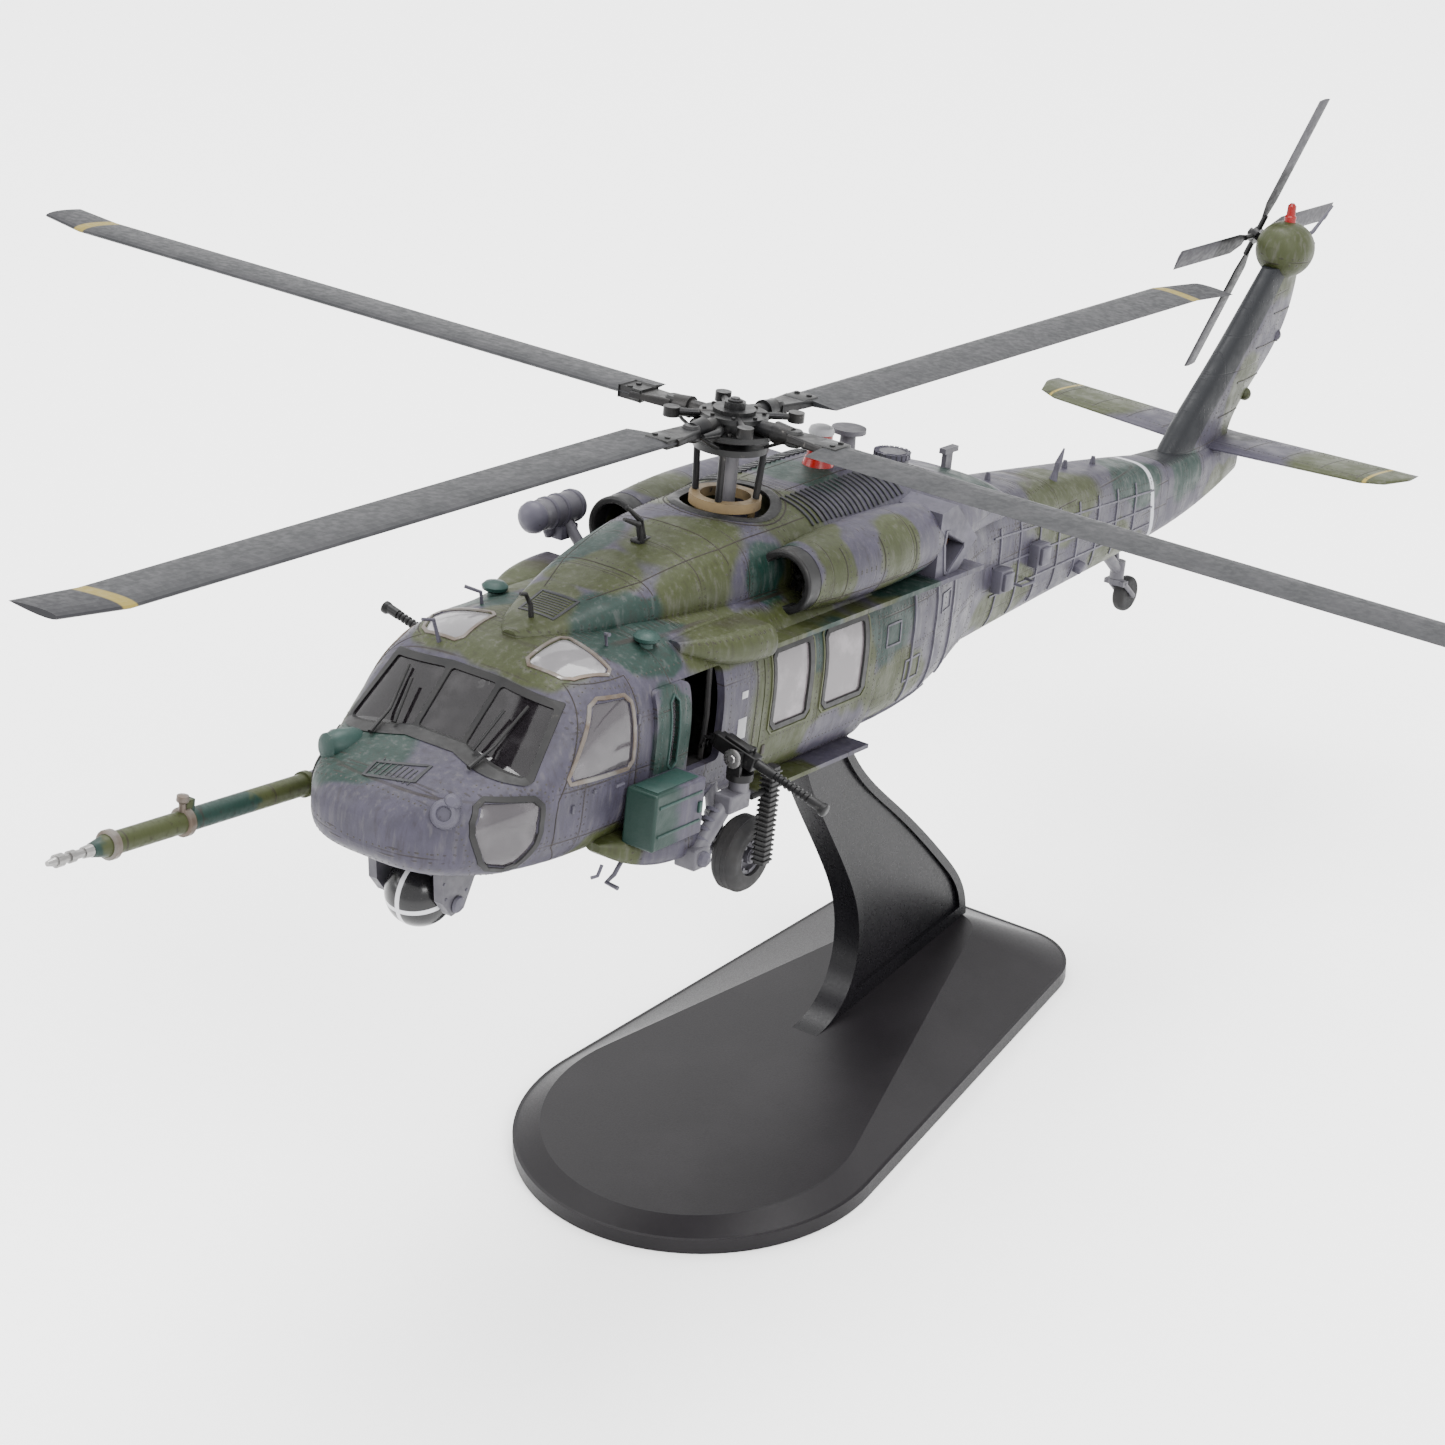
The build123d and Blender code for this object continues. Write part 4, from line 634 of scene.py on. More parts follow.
def rivet_row(bm, cast, points, pitch=0.75, radius=0.13, closed=False):
    """Domed rivets on the skin along a line."""
    for a, b in between(points, pitch, closed):
        place, normal = cast(a, b)
        if place is None:
            continue
        rim = ring(bm, place, *frame_at(normal), radius, 6)
        top = bm.verts.new(place + normal * radius * 0.6 * MM)
        for k in range(6):
            bm.faces.new((rim[k], rim[(k + 1) % 6], top))


def ribbon(bm, cast, points, width, height, closed=False, pitch=0.7, sink=0.05):
    """Raised bead that follows the skin."""
    rows = []
    found = [cast(*spot) for spot in between(points, pitch, closed)]
    track = [(place, normal) for place, normal in found if place is not None]
    count = len(track)
    if count < 2:
        return
    for index, (place, normal) in enumerate(track):
        if closed:
            run = track[(index + 1) % count][0] - track[index - 1][0]
        else:
            run = track[min(index + 1, count - 1)][0] - track[max(index - 1, 0)][0]
        if run.length > 6 * pitch * MM:
            run = track[min(index + 1, count - 1)][0] - place if index + 1 < count else run
        side = normal.cross(run).normalized()
        rows.append([bm.verts.new(place + side * s * width * MM + normal * h * MM) for s, h in
                     ((-0.5, -sink), (-0.42, height), (0.42, height), (0.5, -sink))])
    pairs = list(zip(rows, rows[1:])) + ([(rows[-1], rows[0])] if closed else [])
    for first, second in pairs:
        if (first[1].co - second[1].co).length > 4 * pitch * MM:
            continue
        strip(bm, first, second)


def grown(points, amount):
    """A convex outline moved outwards by amount, with cut corners."""
    corners = [Vector(point) for point in points]
    middle = sum(corners, Vector((0, 0))) / len(corners)
    out = []
    for index, here in enumerate(corners):
        push = (here - middle).normalized() * amount * 1.3
        for neighbour in (corners[index - 1], corners[(index + 1) % len(corners)]):
            corner = here + (neighbour - here).normalized() * 0.8 + push
            out.append((corner.x, corner.y))
    return out


SKINS = ["fuselage_shell"]


# ---- nose ----
nose = from_front(SKINS)
top = from_top(SKINS)


@piece(louvre_dark)
def nose_vent(bm):
    corners = [(-3.0, -29.6), (3.0, -28.9), (3.2, -29.9), (-2.8, -30.5)]
    ribbon(bm, nose, corners, 0.45, 0.12, True, 0.4)
    for k in range(9):
        x = -2.5 + 0.66 * k
        ribbon(bm, nose, [(x, -30.2), (x + 0.1, -29.3)], 0.2, 0.08, False, 0.3)


@piece(rivet_paint)
def nose_rivets(bm):
    rivet_row(bm, nose, [(-10.5, -32.6), (-6, -31.2), (0, -30.9), (6, -31.2), (10.5, -32.6)])
    for row in (-38.0, -36.0):
        rivet_row(bm, nose, [(-9, row), (0, row - 0.5), (9, row)], 0.9)
    for side, cast in both_sides(SKINS):
        rivet_row(bm, cast, [(-58.5, -29.9), (-52.5, -28.6), (-49.5, -29.8)])
        rivet_row(bm, cast, [(-61, -39.3), (-52, -40.6), (-36, -41.2)])


@piece(raised_grey_painted_highlight)
def nose_fairing(bm):
    place, normal = nose(8.8, -31.6)
    way = (normal + D(0.1, -0.5, -0.1)).normalized()
    dome = [(0, 1.6), (0.7, 1.75), (1.5, 1.6), (2.0, 1.25), (2.1, 0.9), (1.7, 0.75)]
    lathe(bm, place - way * 0.0008, way, dome, 22)
    lathe(bm, place - way * 0.0003 + D(0.4, 0.6, 1.4) * MM, way, [(0, 1.0), (1.0, 0.9), (1.5, 0.5)], 16)


@piece(raised_teal_painted_highlight)
def nose_cylinder_fairing(bm):
    profile = [(0, 0.2), (1.2, 1.2), (3.0, 1.9), (5.4, 1.95), (5.9, 1.7), (6.6, 1.65), (6.9, 1.2)]
    lathe(bm, H(-8.3, -53.2, -30.2), D(-0.27, -0.95, 0.02), profile, 20)


# ---- window surrounds ----
COCKPIT = [(-48.4, -29.4), (-43.0, -21.8), (-38.0, -21.9), (-38.0, -29.6)]
CHIN = [(-58.2, -30.6), (-52.2, -30.9), (-52.0, -35.2), (-54.4, -38.6), (-58.0, -37.6), (-59.8, -33.2)]
ROOF = [(4.8, -43.8), (10.2, -43.2), (12.6, -38.4), (5.0, -37.2)]


@piece(trim_worn)
def window_surrounds(bm):
    for side, cast in both_sides(SKINS):
        ribbon(bm, cast, grown(COCKPIT, 0.35), 0.55, 0.14, True, 0.5)
        ribbon(bm, top, [(side * x, y) for x, y in grown(ROOF, 0.3)], 0.5, 0.14, True, 0.5)


@piece(black)
def chin_window_frames(bm):
    for side in SIDES.values():
        ribbon(bm, from_side(SKINS, side), grown(CHIN, 0.35), 0.8, 0.16, True, 0.5)


@piece(rivet_paint)
def window_rivets(bm):
    for side, cast in both_sides(SKINS):
        rivet_row(bm, cast, grown(COCKPIT, 1.1), 0.7, 0.12, True)
        rivet_row(bm, cast, grown(CHIN, 1.3), 0.7, 0.12, True)
        rivet_row(bm, top, [(side * x, y) for x, y in grown(ROOF, 1.0)], 0.7, 0.12, True)
        rivet_row(bm, cast, [(-36.6, -20.4), (-36.6, -41.0)], 0.8)
        rivet_row(bm, cast, [(-35.0, -20.4), (-19.5, -20.4)], 0.8)
        rivet_row(bm, cast, [(-35.0, -34.6), (-19.5, -34.6)], 0.8)
        for y in (-18.9, -13.4):
            rivet_row(bm, cast, [(y, -20.2), (y, -40.8)], 0.75)


@piece(seam_wash)
def cockpit_door_seams(bm):
    for side, cast in both_sides(SKINS):
        crew_door = [(-49.6, -31.4), (-44.0, -20.2), (-36.9, -20.0), (-36.9, -40.4), (-47.0, -40.2),
                     (-49.6, -37.0)]
        ribbon(bm, cast, crew_door, 0.16, 0.03, True, 0.6)
        ribbon(bm, cast, [(-17.0, -21.5), (-13.6, -21.5), (-13.6, -40.0)], 0.16, 0.03, False, 0.7)


HANDLES = ((-39.6, -31.6, 1.6, 0.35), (-47.2, -32.8, 0.5, 1.0), (-36.9, -24.5, 0.45, 1.2),
           (-36.9, -35.0, 0.45, 1.2), (-44.0, -31.3, 0.6, 0.5))


@piece(raised_grey_painted_highlight)
def cockpit_fittings(bm):
    for side, cast in both_sides(SKINS):
        for y, z, wide, high in HANDLES:
            place, normal = cast(y, z)
            if place is not None:
                brick(bm, place, (0.5, wide, high), 0.12, (normal, AFT, UP))
        step = [(16.0, -37.2, -41.2), (15.8, -38.4, -43.0), (15.5, -39.4, -43.8), (17.3, -39.6, -43.9)]
        pitot = [(16.2, -41.6, -40.8), (16.3, -42.4, -41.9), (16.0, -43.2, -42.0)]
        tube(bm, mirrored(side, step), 0.28, 8)
        tube(bm, mirrored(side, pitot), 0.22, 8)


# ---- roof antennas, wire cutters and vents ----
COWL = ["rotor_cowling", "fuselage_shell"]
cowl_top = from_top(COWL)


@piece(raised_teal_painted_highlight)
def roof_mushroom_antennas(bm):
    for side in SIDES.values():
        place, normal = top(side * 11, -29.7)
        cap = [(0, 0.9), (0.5, 0.8), (0.9, 1.5), (1.3, 1.6), (1.7, 1.2), (1.9, 0.4)]
        lathe(bm, place - UP * 0.0003, UP, cap, 18)


def stalk(bm, base, sunk, steps, radii, sides=8):
    """Bent rod that stands on the skin: sunk and steps in mm from its base."""
    tube(bm, [base - UP * (sunk * MM)] + [base + D(*step) * MM for step in steps], radii, sides)


@piece(black)
def wire_cutters(bm):
    place, _ = cowl_top(0, -37.0)
    stalk(bm, place, 0.6, [(0, -0.5, 1.6), (0, -1.6, 3.0), (0, -2.6, 3.2)], [0.35, 0.3, 0.28, 0.2])
    for bent in (0.0, 1.0):
        base, _ = cowl_top(0.5 * bent, -16.2 - bent)
        stalk(bm, base, 0.6, [(0, -1.2, 2.4), (0, -4.2, 4.6 - bent)], [0.5, 0.4, 0.22])
    brick(bm, cowl_top(0, -16.8)[0], (1.4, 2.6, 0.5), 0.15)


@piece(raised_grey_painted_highlight)
def roof_probes(bm):
    for side in SIDES.values():
        base, _ = top(side * 9.0, -34.5)
        stalk(bm, base, 0.4, [(0, -0.5, 1.5), (side * 1.4, -1.8, 2.1)], 0.24)
    base, _ = top(-7.0, -44.5)
    stalk(bm, base, 0.4, [(-0.4, -1.0, 2.6), (-0.6, -2.8, 3.0)], [0.3, 0.26, 0.2])


@piece(louvre_dark)
def cowling_vent(bm):
    ribbon(bm, cowl_top, [(-2.4, -36.2), (2.4, -36.2), (2.6, -31.8), (-2.6, -31.8)], 0.4, 0.1, True, 0.4)
    for k in range(9):
        ribbon(bm, cowl_top, [(-2.1, -35.6 + 0.45 * k), (2.1, -35.6 + 0.45 * k)], 0.2, 0.07, False, 0.5)


@piece(louvre_dark)
def cowling_louvres(bm):
    for side in SIDES.values():
        for k in range(20):
            y = 5.5 + 1.05 * k
            ribbon(bm, cowl_top, [(side * 4.4, y), (side * 9.4, y)], 0.42, 0.22, False, 0.8)


@piece(seam_wash)
def cowling_seams(bm):
    for y in (-24.0, -11.5, 30.5, 41.0):
        ribbon(bm, cowl_top, [(-9.5, y), (9.5, y)], 0.16, 0.03, False, 0.6)
    for side in SIDES.values():
        edge = [(side * 3.0, -31.0), (side * 5.5, -24.0), (side * 7.4, -11.5), (side * 8.3, 5.0)]
        ribbon(bm, cowl_top, edge, 0.16, 0.03)
        ribbon(bm, cowl_top, [(side * 3.2, 8.0), (side * 3.2, 30.0)], 0.14, 0.03)
    circle = [(7.4 * sin(k * pi / 18), 7.4 * cos(k * pi / 18)) for k in range(36)]
    ribbon(bm, cowl_top, circle, 0.22, 0.04, True, 0.6)


@piece(rivet_paint)
def cowling_rivets(bm):
    for y in (-23.2, -12.3, 29.6, 31.4, 40.2, 41.8):
        rivet_row(bm, cowl_top, [(-9.5, y), (9.5, y)], 0.8)
    for side in SIDES.values():
        edge = [(side * 2.6, -31.0), (side * 5.0, -24.0), (side * 6.8, -11.5), (side * 7.7, 5.0)]
        rivet_row(bm, cowl_top, edge, 0.8)
        rivet_row(bm, cowl_top, [(side * 10.0, 6.0), (side * 10.0, 28.0)], 0.8)
    for radius in (7.0, 8.0):
        circle = [(radius * sin(k * pi / 12), radius * cos(k * pi / 12)) for k in range(24)]
        rivet_row(bm, cowl_top, circle, 0.9, 0.12, True)


@piece(black)
def rotor_well_lip(bm):
    for k in range(48):
        angle, after = k * pi / 24, (k + 1) * pi / 24
        inner = [(5.5, -0.2), (5.5, 0.15), (6.3, 0.3), (6.9, 0.05)]
        rows = []
        for turn in (angle, after):
            base, _ = cowl_top(6.8 * sin(turn), 6.8 * cos(turn))
            height = (base / MM - HUB).dot(UP)
            rows.append([bm.verts.new(H(r * sin(turn), r * cos(turn), height + h)) for r, h in inner])
        strip(bm, *rows)


# ---- engines ----
ENGINES = ["engine_nacelles"]


@piece(steel)
def intake_fans(bm):
    for side in SIDES.values():
        centre = H(side * ENGINE[0], 0.6, ENGINE[1])
        lathe(bm, centre, -AFT, [(0, 1.0), (0.8, 0.95), (1.8, 0.6), (2.3, 0.15)], 20)
        for k in range(16):
            turn = k * pi / 8
            out = D(cos(turn), 0, sin(turn))
            across = D(-sin(turn), 0.5, cos(turn)).normalized()
            axes = (out, across, out.cross(across).normalized())
            brick(bm, centre + out * 0.0019 - AFT * 0.0003, (1.8, 0.55, 0.12), 0.03, axes)


@piece(seam_wash)
def nacelle_seams(bm):
    for side, cast in both_sides(ENGINES):
        for y in (2.6, 10.4, 17.5):
            ribbon(bm, cast, [(y, -12.6), (y, -19.4)], 0.18, 0.03, False, 0.5)
        ribbon(bm, cast, [(-1.6, -18.4), (23.0, -18.2)], 0.18, 0.03)


@piece(rivet_paint)
def nacelle_rivets(bm):
    for side, cast in both_sides(ENGINES):
        for y in (-1.6, 3.3, 9.7, 11.1, 18.2, 23.6):
            rivet_row(bm, cast, [(y, -12.4), (y, -19.6)], 0.7)
        for k in range(5):
            rivet_row(bm, cast, [(4.4 + 1.0 * k, -15.6), (4.4 + 1.0 * k, -15.9)], 0.3, 0.17)


@piece(exhaust_brown)
def exhaust_linings(bm):
    for side in SIDES.values():
        brick(bm, H(side * 12.6, 27.6, -17.8), (0.5, 5.0, 4.2), 0.1)
        for k in range(4):
            place = H(side * 13.4, 26.6 + 0.8 * k, -17.7 - 0.25 * k)
            brick(bm, place, (1.8, 0.25, 3.0), 0.06, (PORT, D(0, 0.8, -0.6), D(0, 0.6, 0.8)))


@piece(raised_grey_painted_highlight)
def exhaust_trim(bm):
    mouth = [(25.4, -15.0), (30.4, -17.5), (26.6, -20.6)]
    for side in SIDES.values():
        ribbon(bm, from_side(["exhaust_boxes"], side), grown(mouth, 0.5), 0.5, 0.14, True, 0.5)


# ---- gunner's bays and side skin ----
FRAMES = ["gunner_window_frames"]


@piece(raised_teal_painted_highlight)
def gunner_frame_trim(bm):
    for side, cast in both_sides(FRAMES):
        slot = [(-31.5, -31.6), (-31.5, -23.2), (-30.0, -23.2), (-30.0, -31.6)]
        ribbon(bm, cast, grown(slot, 0.25), 0.3, 0.12, True, 0.4)
        rivet_row(bm, cast, [(-33.2, -22.8), (-33.2, -32.6)], 0.8)
        rivet_row(bm, cast, [(-28.4, -22.8), (-28.4, -32.6)], 0.8)


@piece(pale)
def plain_placards(bm):
    for side in SIDES.values():
        place, normal = from_side(SKINS, side)(-16.2, -30.6)
        brick(bm, place, (0.12, 1.7, 2.6), 0.03, (normal, AFT, UP))
        place, normal = from_side(SKINS, side)(-16.2, -26.4)
        brick(bm, place, (0.12, 1.2, 0.9), 0.03, (normal, AFT, UP))


@piece(interior)
def bay_interior(bm):
    for side in SIDES.values():
        for y in (-33.0, -27.2, -21.6):
            tube(bm, [H(side * 14.6, y, -22.0), H(side * 14.9, y, -28.0), H(side * 14.6, y, -33.4)], 0.35, 8)
        brick(bm, H(side * 13.9, -24.6, -33.9), (1.6, 7.6, 0.5), 0.15)
        for k in range(3):
            brick(bm, H(side * (7.5 + 1.2 * k), -24.0, -36.0 + k * 0.4), (1.0, 5.4, 3.6), 0.25)


DOOR_PANES = [(-9.8, -2.4), (1.2, 9.6)]
FOLDS = 14                     # in each pale sheet, a painted reflection in the door pane


def pane_outline(front, rear, amount):
    return grown([(front, -31.9), (front, -22.9), (rear, -22.9), (rear, -31.9)], amount)


for door, side in SIDES.items():
    cast = from_side([f"{door}_cabin_door"], side)

    @piece(black, f"{door}_door", prefix=door + "_")
    def door_window_seals(bm):
        for front, rear in DOOR_PANES:
            ribbon(bm, cast, pane_outline(front, rear, 0.3), 0.75, 0.16, True, 0.5)
            lip = [(front + 0.2, -22.6), (rear + 0.1, -22.6), (rear + 0.1, -31.4)]
            ribbon(bm, cast, lip, 1.0, 0.18, False, 0.5)

    @piece(raised_olive_painted_highlight, f"{door}_door", prefix=door + "_")
    def door_window_trims(bm):
        for front, rear in DOOR_PANES:
            ribbon(bm, cast, pane_outline(front, rear, 0.95), 0.3, 0.12, True, 0.5)

    @piece(rivet_paint, f"{door}_door", prefix=door + "_")
    def door_rivets(bm):
        for y in (-11.4, -0.6, 11.2):
            rivet_row(bm, cast, [(y, -22.4), (y, -38.8)], 0.75)
        for z in (-33.4, -36.2, -38.6):
            rivet_row(bm, cast, [(-11.2, z), (11.0, z)], 0.75)
        brick(bm, cast(-10.9, -34.6)[0], (0.4, 0.7, 1.2), 0.1)

    # Pale pleated sheets just inside the door panes: a painted reflection that makes the panes look pale.
    @piece(pale, f"{door}_door", prefix=door + "_")
    def door_painted_reflection_sheets(bm):
        for front, rear in DOOR_PANES:
            rows = []
            for k in range(FOLDS + 1):
                y = front + 0.3 + (rear - front - 0.6) * k / FOLDS
                x = side * (15.15 + 0.06 * (k % 2))
                sheet_column = ((x, -23.4), (x, -27.4), (x * 0.995, -31.5))
                rows.append([bm.verts.new(H(across, y, z)) for across, z in sheet_column])
            for first, second in zip(rows, rows[1:]):
                strip(bm, first, second)


@piece(rivet_paint)
def rear_side_rivets(bm):
    for side, cast in both_sides(SKINS):
        for y in (14.4, 20.6, 26.8, 33.4, 40.0, 46.5):
            rivet_row(bm, cast, [(y, -22.4), (y, -39.6)], 0.75)
        for z in (-24.2, -29.6, -35.2):
            rivet_row(bm, cast, [(14.4, z), (49.0, z)], 0.75)


@piece(raised_grey_painted_highlight)
def rear_side_ribs(bm):
    for side, cast in both_sides(SKINS):
        for y in (23.4, 30.2, 36.6):
            ribbon(bm, cast, [(y, -22.4), (y, -37.6)], 0.55, 0.2, False, 0.8)
        for points in ([(16.4, -25.6), (19.6, -25.6), (19.6, -28.4), (16.4, -28.4)],
                       [(22.0, -31.6), (26.0, -31.6), (26.0, -34.4), (22.0, -34.4)],
                       [(32.0, -25.4), (35.0, -25.4), (35.0, -27.8), (32.0, -27.8)]):
            ribbon(bm, cast, points, 0.3, 0.12, True, 0.5)


@piece(raised_grey_painted_highlight)
def belly_strakes(bm):
    for side, cast in both_sides(SKINS):
        ribbon(bm, cast, [(-12.0, -40.6), (12.0, -40.6)], 0.5, 0.25, False, 0.9)
        ribbon(bm, cast, [(13.4, -39.2), (34.0, -38.6)], 0.5, 0.3, False, 0.9)


# ---- boom ----
BOOM = ["tail_boom", "fuselage_shell", "rotor_cowling"]


@piece(raised_grey_painted_highlight)
def boom_ribs(bm):
    for side, cast in both_sides(BOOM):
        for y in (55.0, 61.0, 67.0, 73.0, 79.0, 85.0, 91.0, 97.0):
            drop = (y - 51) * 0.06
            ribbon(bm, cast, [(y, -22.6 - drop), (y, -36.8 + drop)], 0.42, 0.16, False, 0.8)
        for shift in (0.0, 4.0, 8.0):
            ribbon(bm, cast, [(53.0, -23.8 - shift), (103.0, -27.6 - shift * 0.62)], 0.3, 0.14, False, 1.0)


@piece(rivet_paint)
def boom_rivets(bm):
    for side, cast in both_sides(BOOM):
        for y in range(52, 106, 6):
            rivet_row(bm, cast, [(y + 2.2, -22.8 - (y - 51) * 0.06), (y + 2.2, -36.6 + (y - 51) * 0.06)], 0.8)
        rivet_row(bm, cast, [(52.0, -22.6), (104.0, -26.4)], 0.8)


@piece(raised_grey_painted_highlight)
def boom_fittings(bm):
    boom_top = from_top(BOOM)
    base, _ = boom_top(3.0, 75.5)
    stalk(bm, base, 0.5, [(0.2, 0.7, 2.2), (0.3, 1.6, 4.2)], [0.75, 0.5, 0.12], 10)
    for y, z in ((54.6, -29.6), (65.5, -28.5)):
        for side in SIDES.values():
            place, normal = from_side(BOOM, side)(y, z)
            if place is not None:
                brick(bm, place + normal * 0.0007, (1.8, 3.0, 3.2), 0.2, (normal, AFT, UP))
                brick(bm, place + normal * 0.0018, (0.5, 2.2, 2.4), 0.1, (normal, AFT, UP))
    for side in SIDES.values():
        place, normal = from_side(BOOM, side)(60.0, -31.5)
        bent = ((0, 0), (1.4, 0), (1.5, 3.0), (0, 3.4))
        tube(bm, [place + (normal * out + AFT * back) * MM for out, back in bent], 0.2, 8)
        place, normal = from_side(BOOM, side)(80.5, -33.8)
        brick(bm, place + normal * 0.0004, (1.4, 1.8, 1.0), 0.2, (normal, D(0, 0.9, 0.3), UP))
    for y in (57.0, 63.0, 84.0, 92.0):
        base, _ = boom_top(0, y)
        tube(bm, [base - UP * 0.0003, base + UP * 0.0011], [0.5, 0.3], 8)


# ---- tail ----
@piece(red)
def tail_light(bm):
    lathe(bm, H(0, 142.9, 5.0), UP, [(0, 0.9), (0.9, 0.9), (1.1, 0.7), (2.5, 0.65), (2.9, 0.3)], 14)


@piece(raised_grey_painted_highlight)
def tail_whip_antenna(bm):
    tube(bm, [H(0.8, 145.6, 2.2), H(1.8, 147.4, 3.4), H(2.6, 151.2, 7.0)], [0.42, 0.32, 0.16], 8)
    tube(bm, [H(0.6, 146.4, 1.6), H(1.6, 148.9, 1.4)], [0.6, 0.25], 8)


@piece(rivet_paint)
def fin_details(bm):
    for side, cast in both_sides(["tail_pylon"]):
        for z in (-8.0, -12.5, -17.0, -21.5):
            start = 143.0 + z * 1.03 + 4.5
            ribbon(bm, cast, [(start, z), (start + 11.0, z - 0.6)], 0.2, 0.1, False, 0.7)
        rivet_row(bm, cast, [(121.5, -23.4), (140.2, -4.6)], 0.8)
        rivet_row(bm, cast, [(128.0, -24.0), (143.4, -8.4)], 0.8)


@piece(rivet_paint)
def stabilator_details(bm):
    stab = from_top(["stabilator"])
    for side in SIDES.values():
        for y in (126.2, 133.2):
            rivet_row(bm, stab, [(side * 4.0, y), (side * 27.0, y)], 0.8)
        for x in (7.0, 13.0, 19.0, 25.0):
            ribbon(bm, stab, [(side * x, 125.2), (side * x, 134.6)], 0.16, 0.03, False, 0.7)


# ---- rotor head ----
@piece(steel, "main_rotor")
def rotor_head_bolts(bm):
    for k in range(12):
        turn = k * pi / 6
        lathe(bm, H(4.5 * sin(turn), 4.5 * cos(turn), -0.95), UP, [(0, 0.32), (0.4, 0.32), (0.45, 0.2)], 6)
    for k in range(8):
        turn = k * pi / 4 + 0.2
        lathe(bm, H(3.6 * sin(turn), 3.6 * cos(turn), 0.95), UP, [(0, 0.26), (0.3, 0.26), (0.34, 0.15)], 6)
    lathe(bm, H(0, 0, 2.25), UP, [(0, 0.9), (0.25, 0.9), (0.35, 0.6), (0.5, 0.55)], 20)


@piece(hub_black, "main_rotor")
def rotor_head_dampers(bm):
    for k in range(4):
        turn = k * pi / 2
        out, across = D(sin(turn), -cos(turn), 0), D(cos(turn), sin(turn), 0)
        start = H(0, 0, -0.2) + out * 0.0046 + across * 0.0013
        tube(bm, [start, start + out * 0.0016 + across * 0.0007, start + out * 0.0040 + across * 0.0004],
             [0.5, 0.55, 0.3], 12)
        lathe(bm, H(0, 0, -0.1) + out * 0.0088, UP, [(-1.0, 0.9), (-0.7, 1.15), (0.7, 1.15), (1.0, 0.9)], 16)
        link = ((-2.6, 4.2, 1.0), (-1.4, 6.6, 1.1), (-0.5, 8.0, 0.9))
        tube(bm, [H(0, 0, z) + (out * reach + across * aside) * MM for z, reach, aside in link], 0.22, 8)


@piece(hub_black, "main_rotor")
def blade_root_clamps(bm):
    for k in range(4):
        turn = k * pi / 2
        out, across = D(sin(turn), -cos(turn), 0), D(cos(turn), sin(turn), 0)
        brick(bm, H(0, 0, 0) + out * 0.0142, (3.2, 3.4, 1.15), 0.2, (out, across, UP))
        for bolt in (-0.9, 0.9):
            place = H(0, 0, 0.4) + out * 0.0148 + across * bolt * MM
            lathe(bm, place, UP, [(0, 0.35), (0.35, 0.35), (0.4, 0.2)], 6)


# ---- beacon cap, guns, wheels and hoist ----
@piece(pale)
def beacon_cap(bm):
    lathe(bm, H(0, 20.0, -5.3), UP, [(0, 1.62), (0.3, 1.66), (0.8, 1.45), (1.0, 1.0), (1.05, 0.5)], 22)

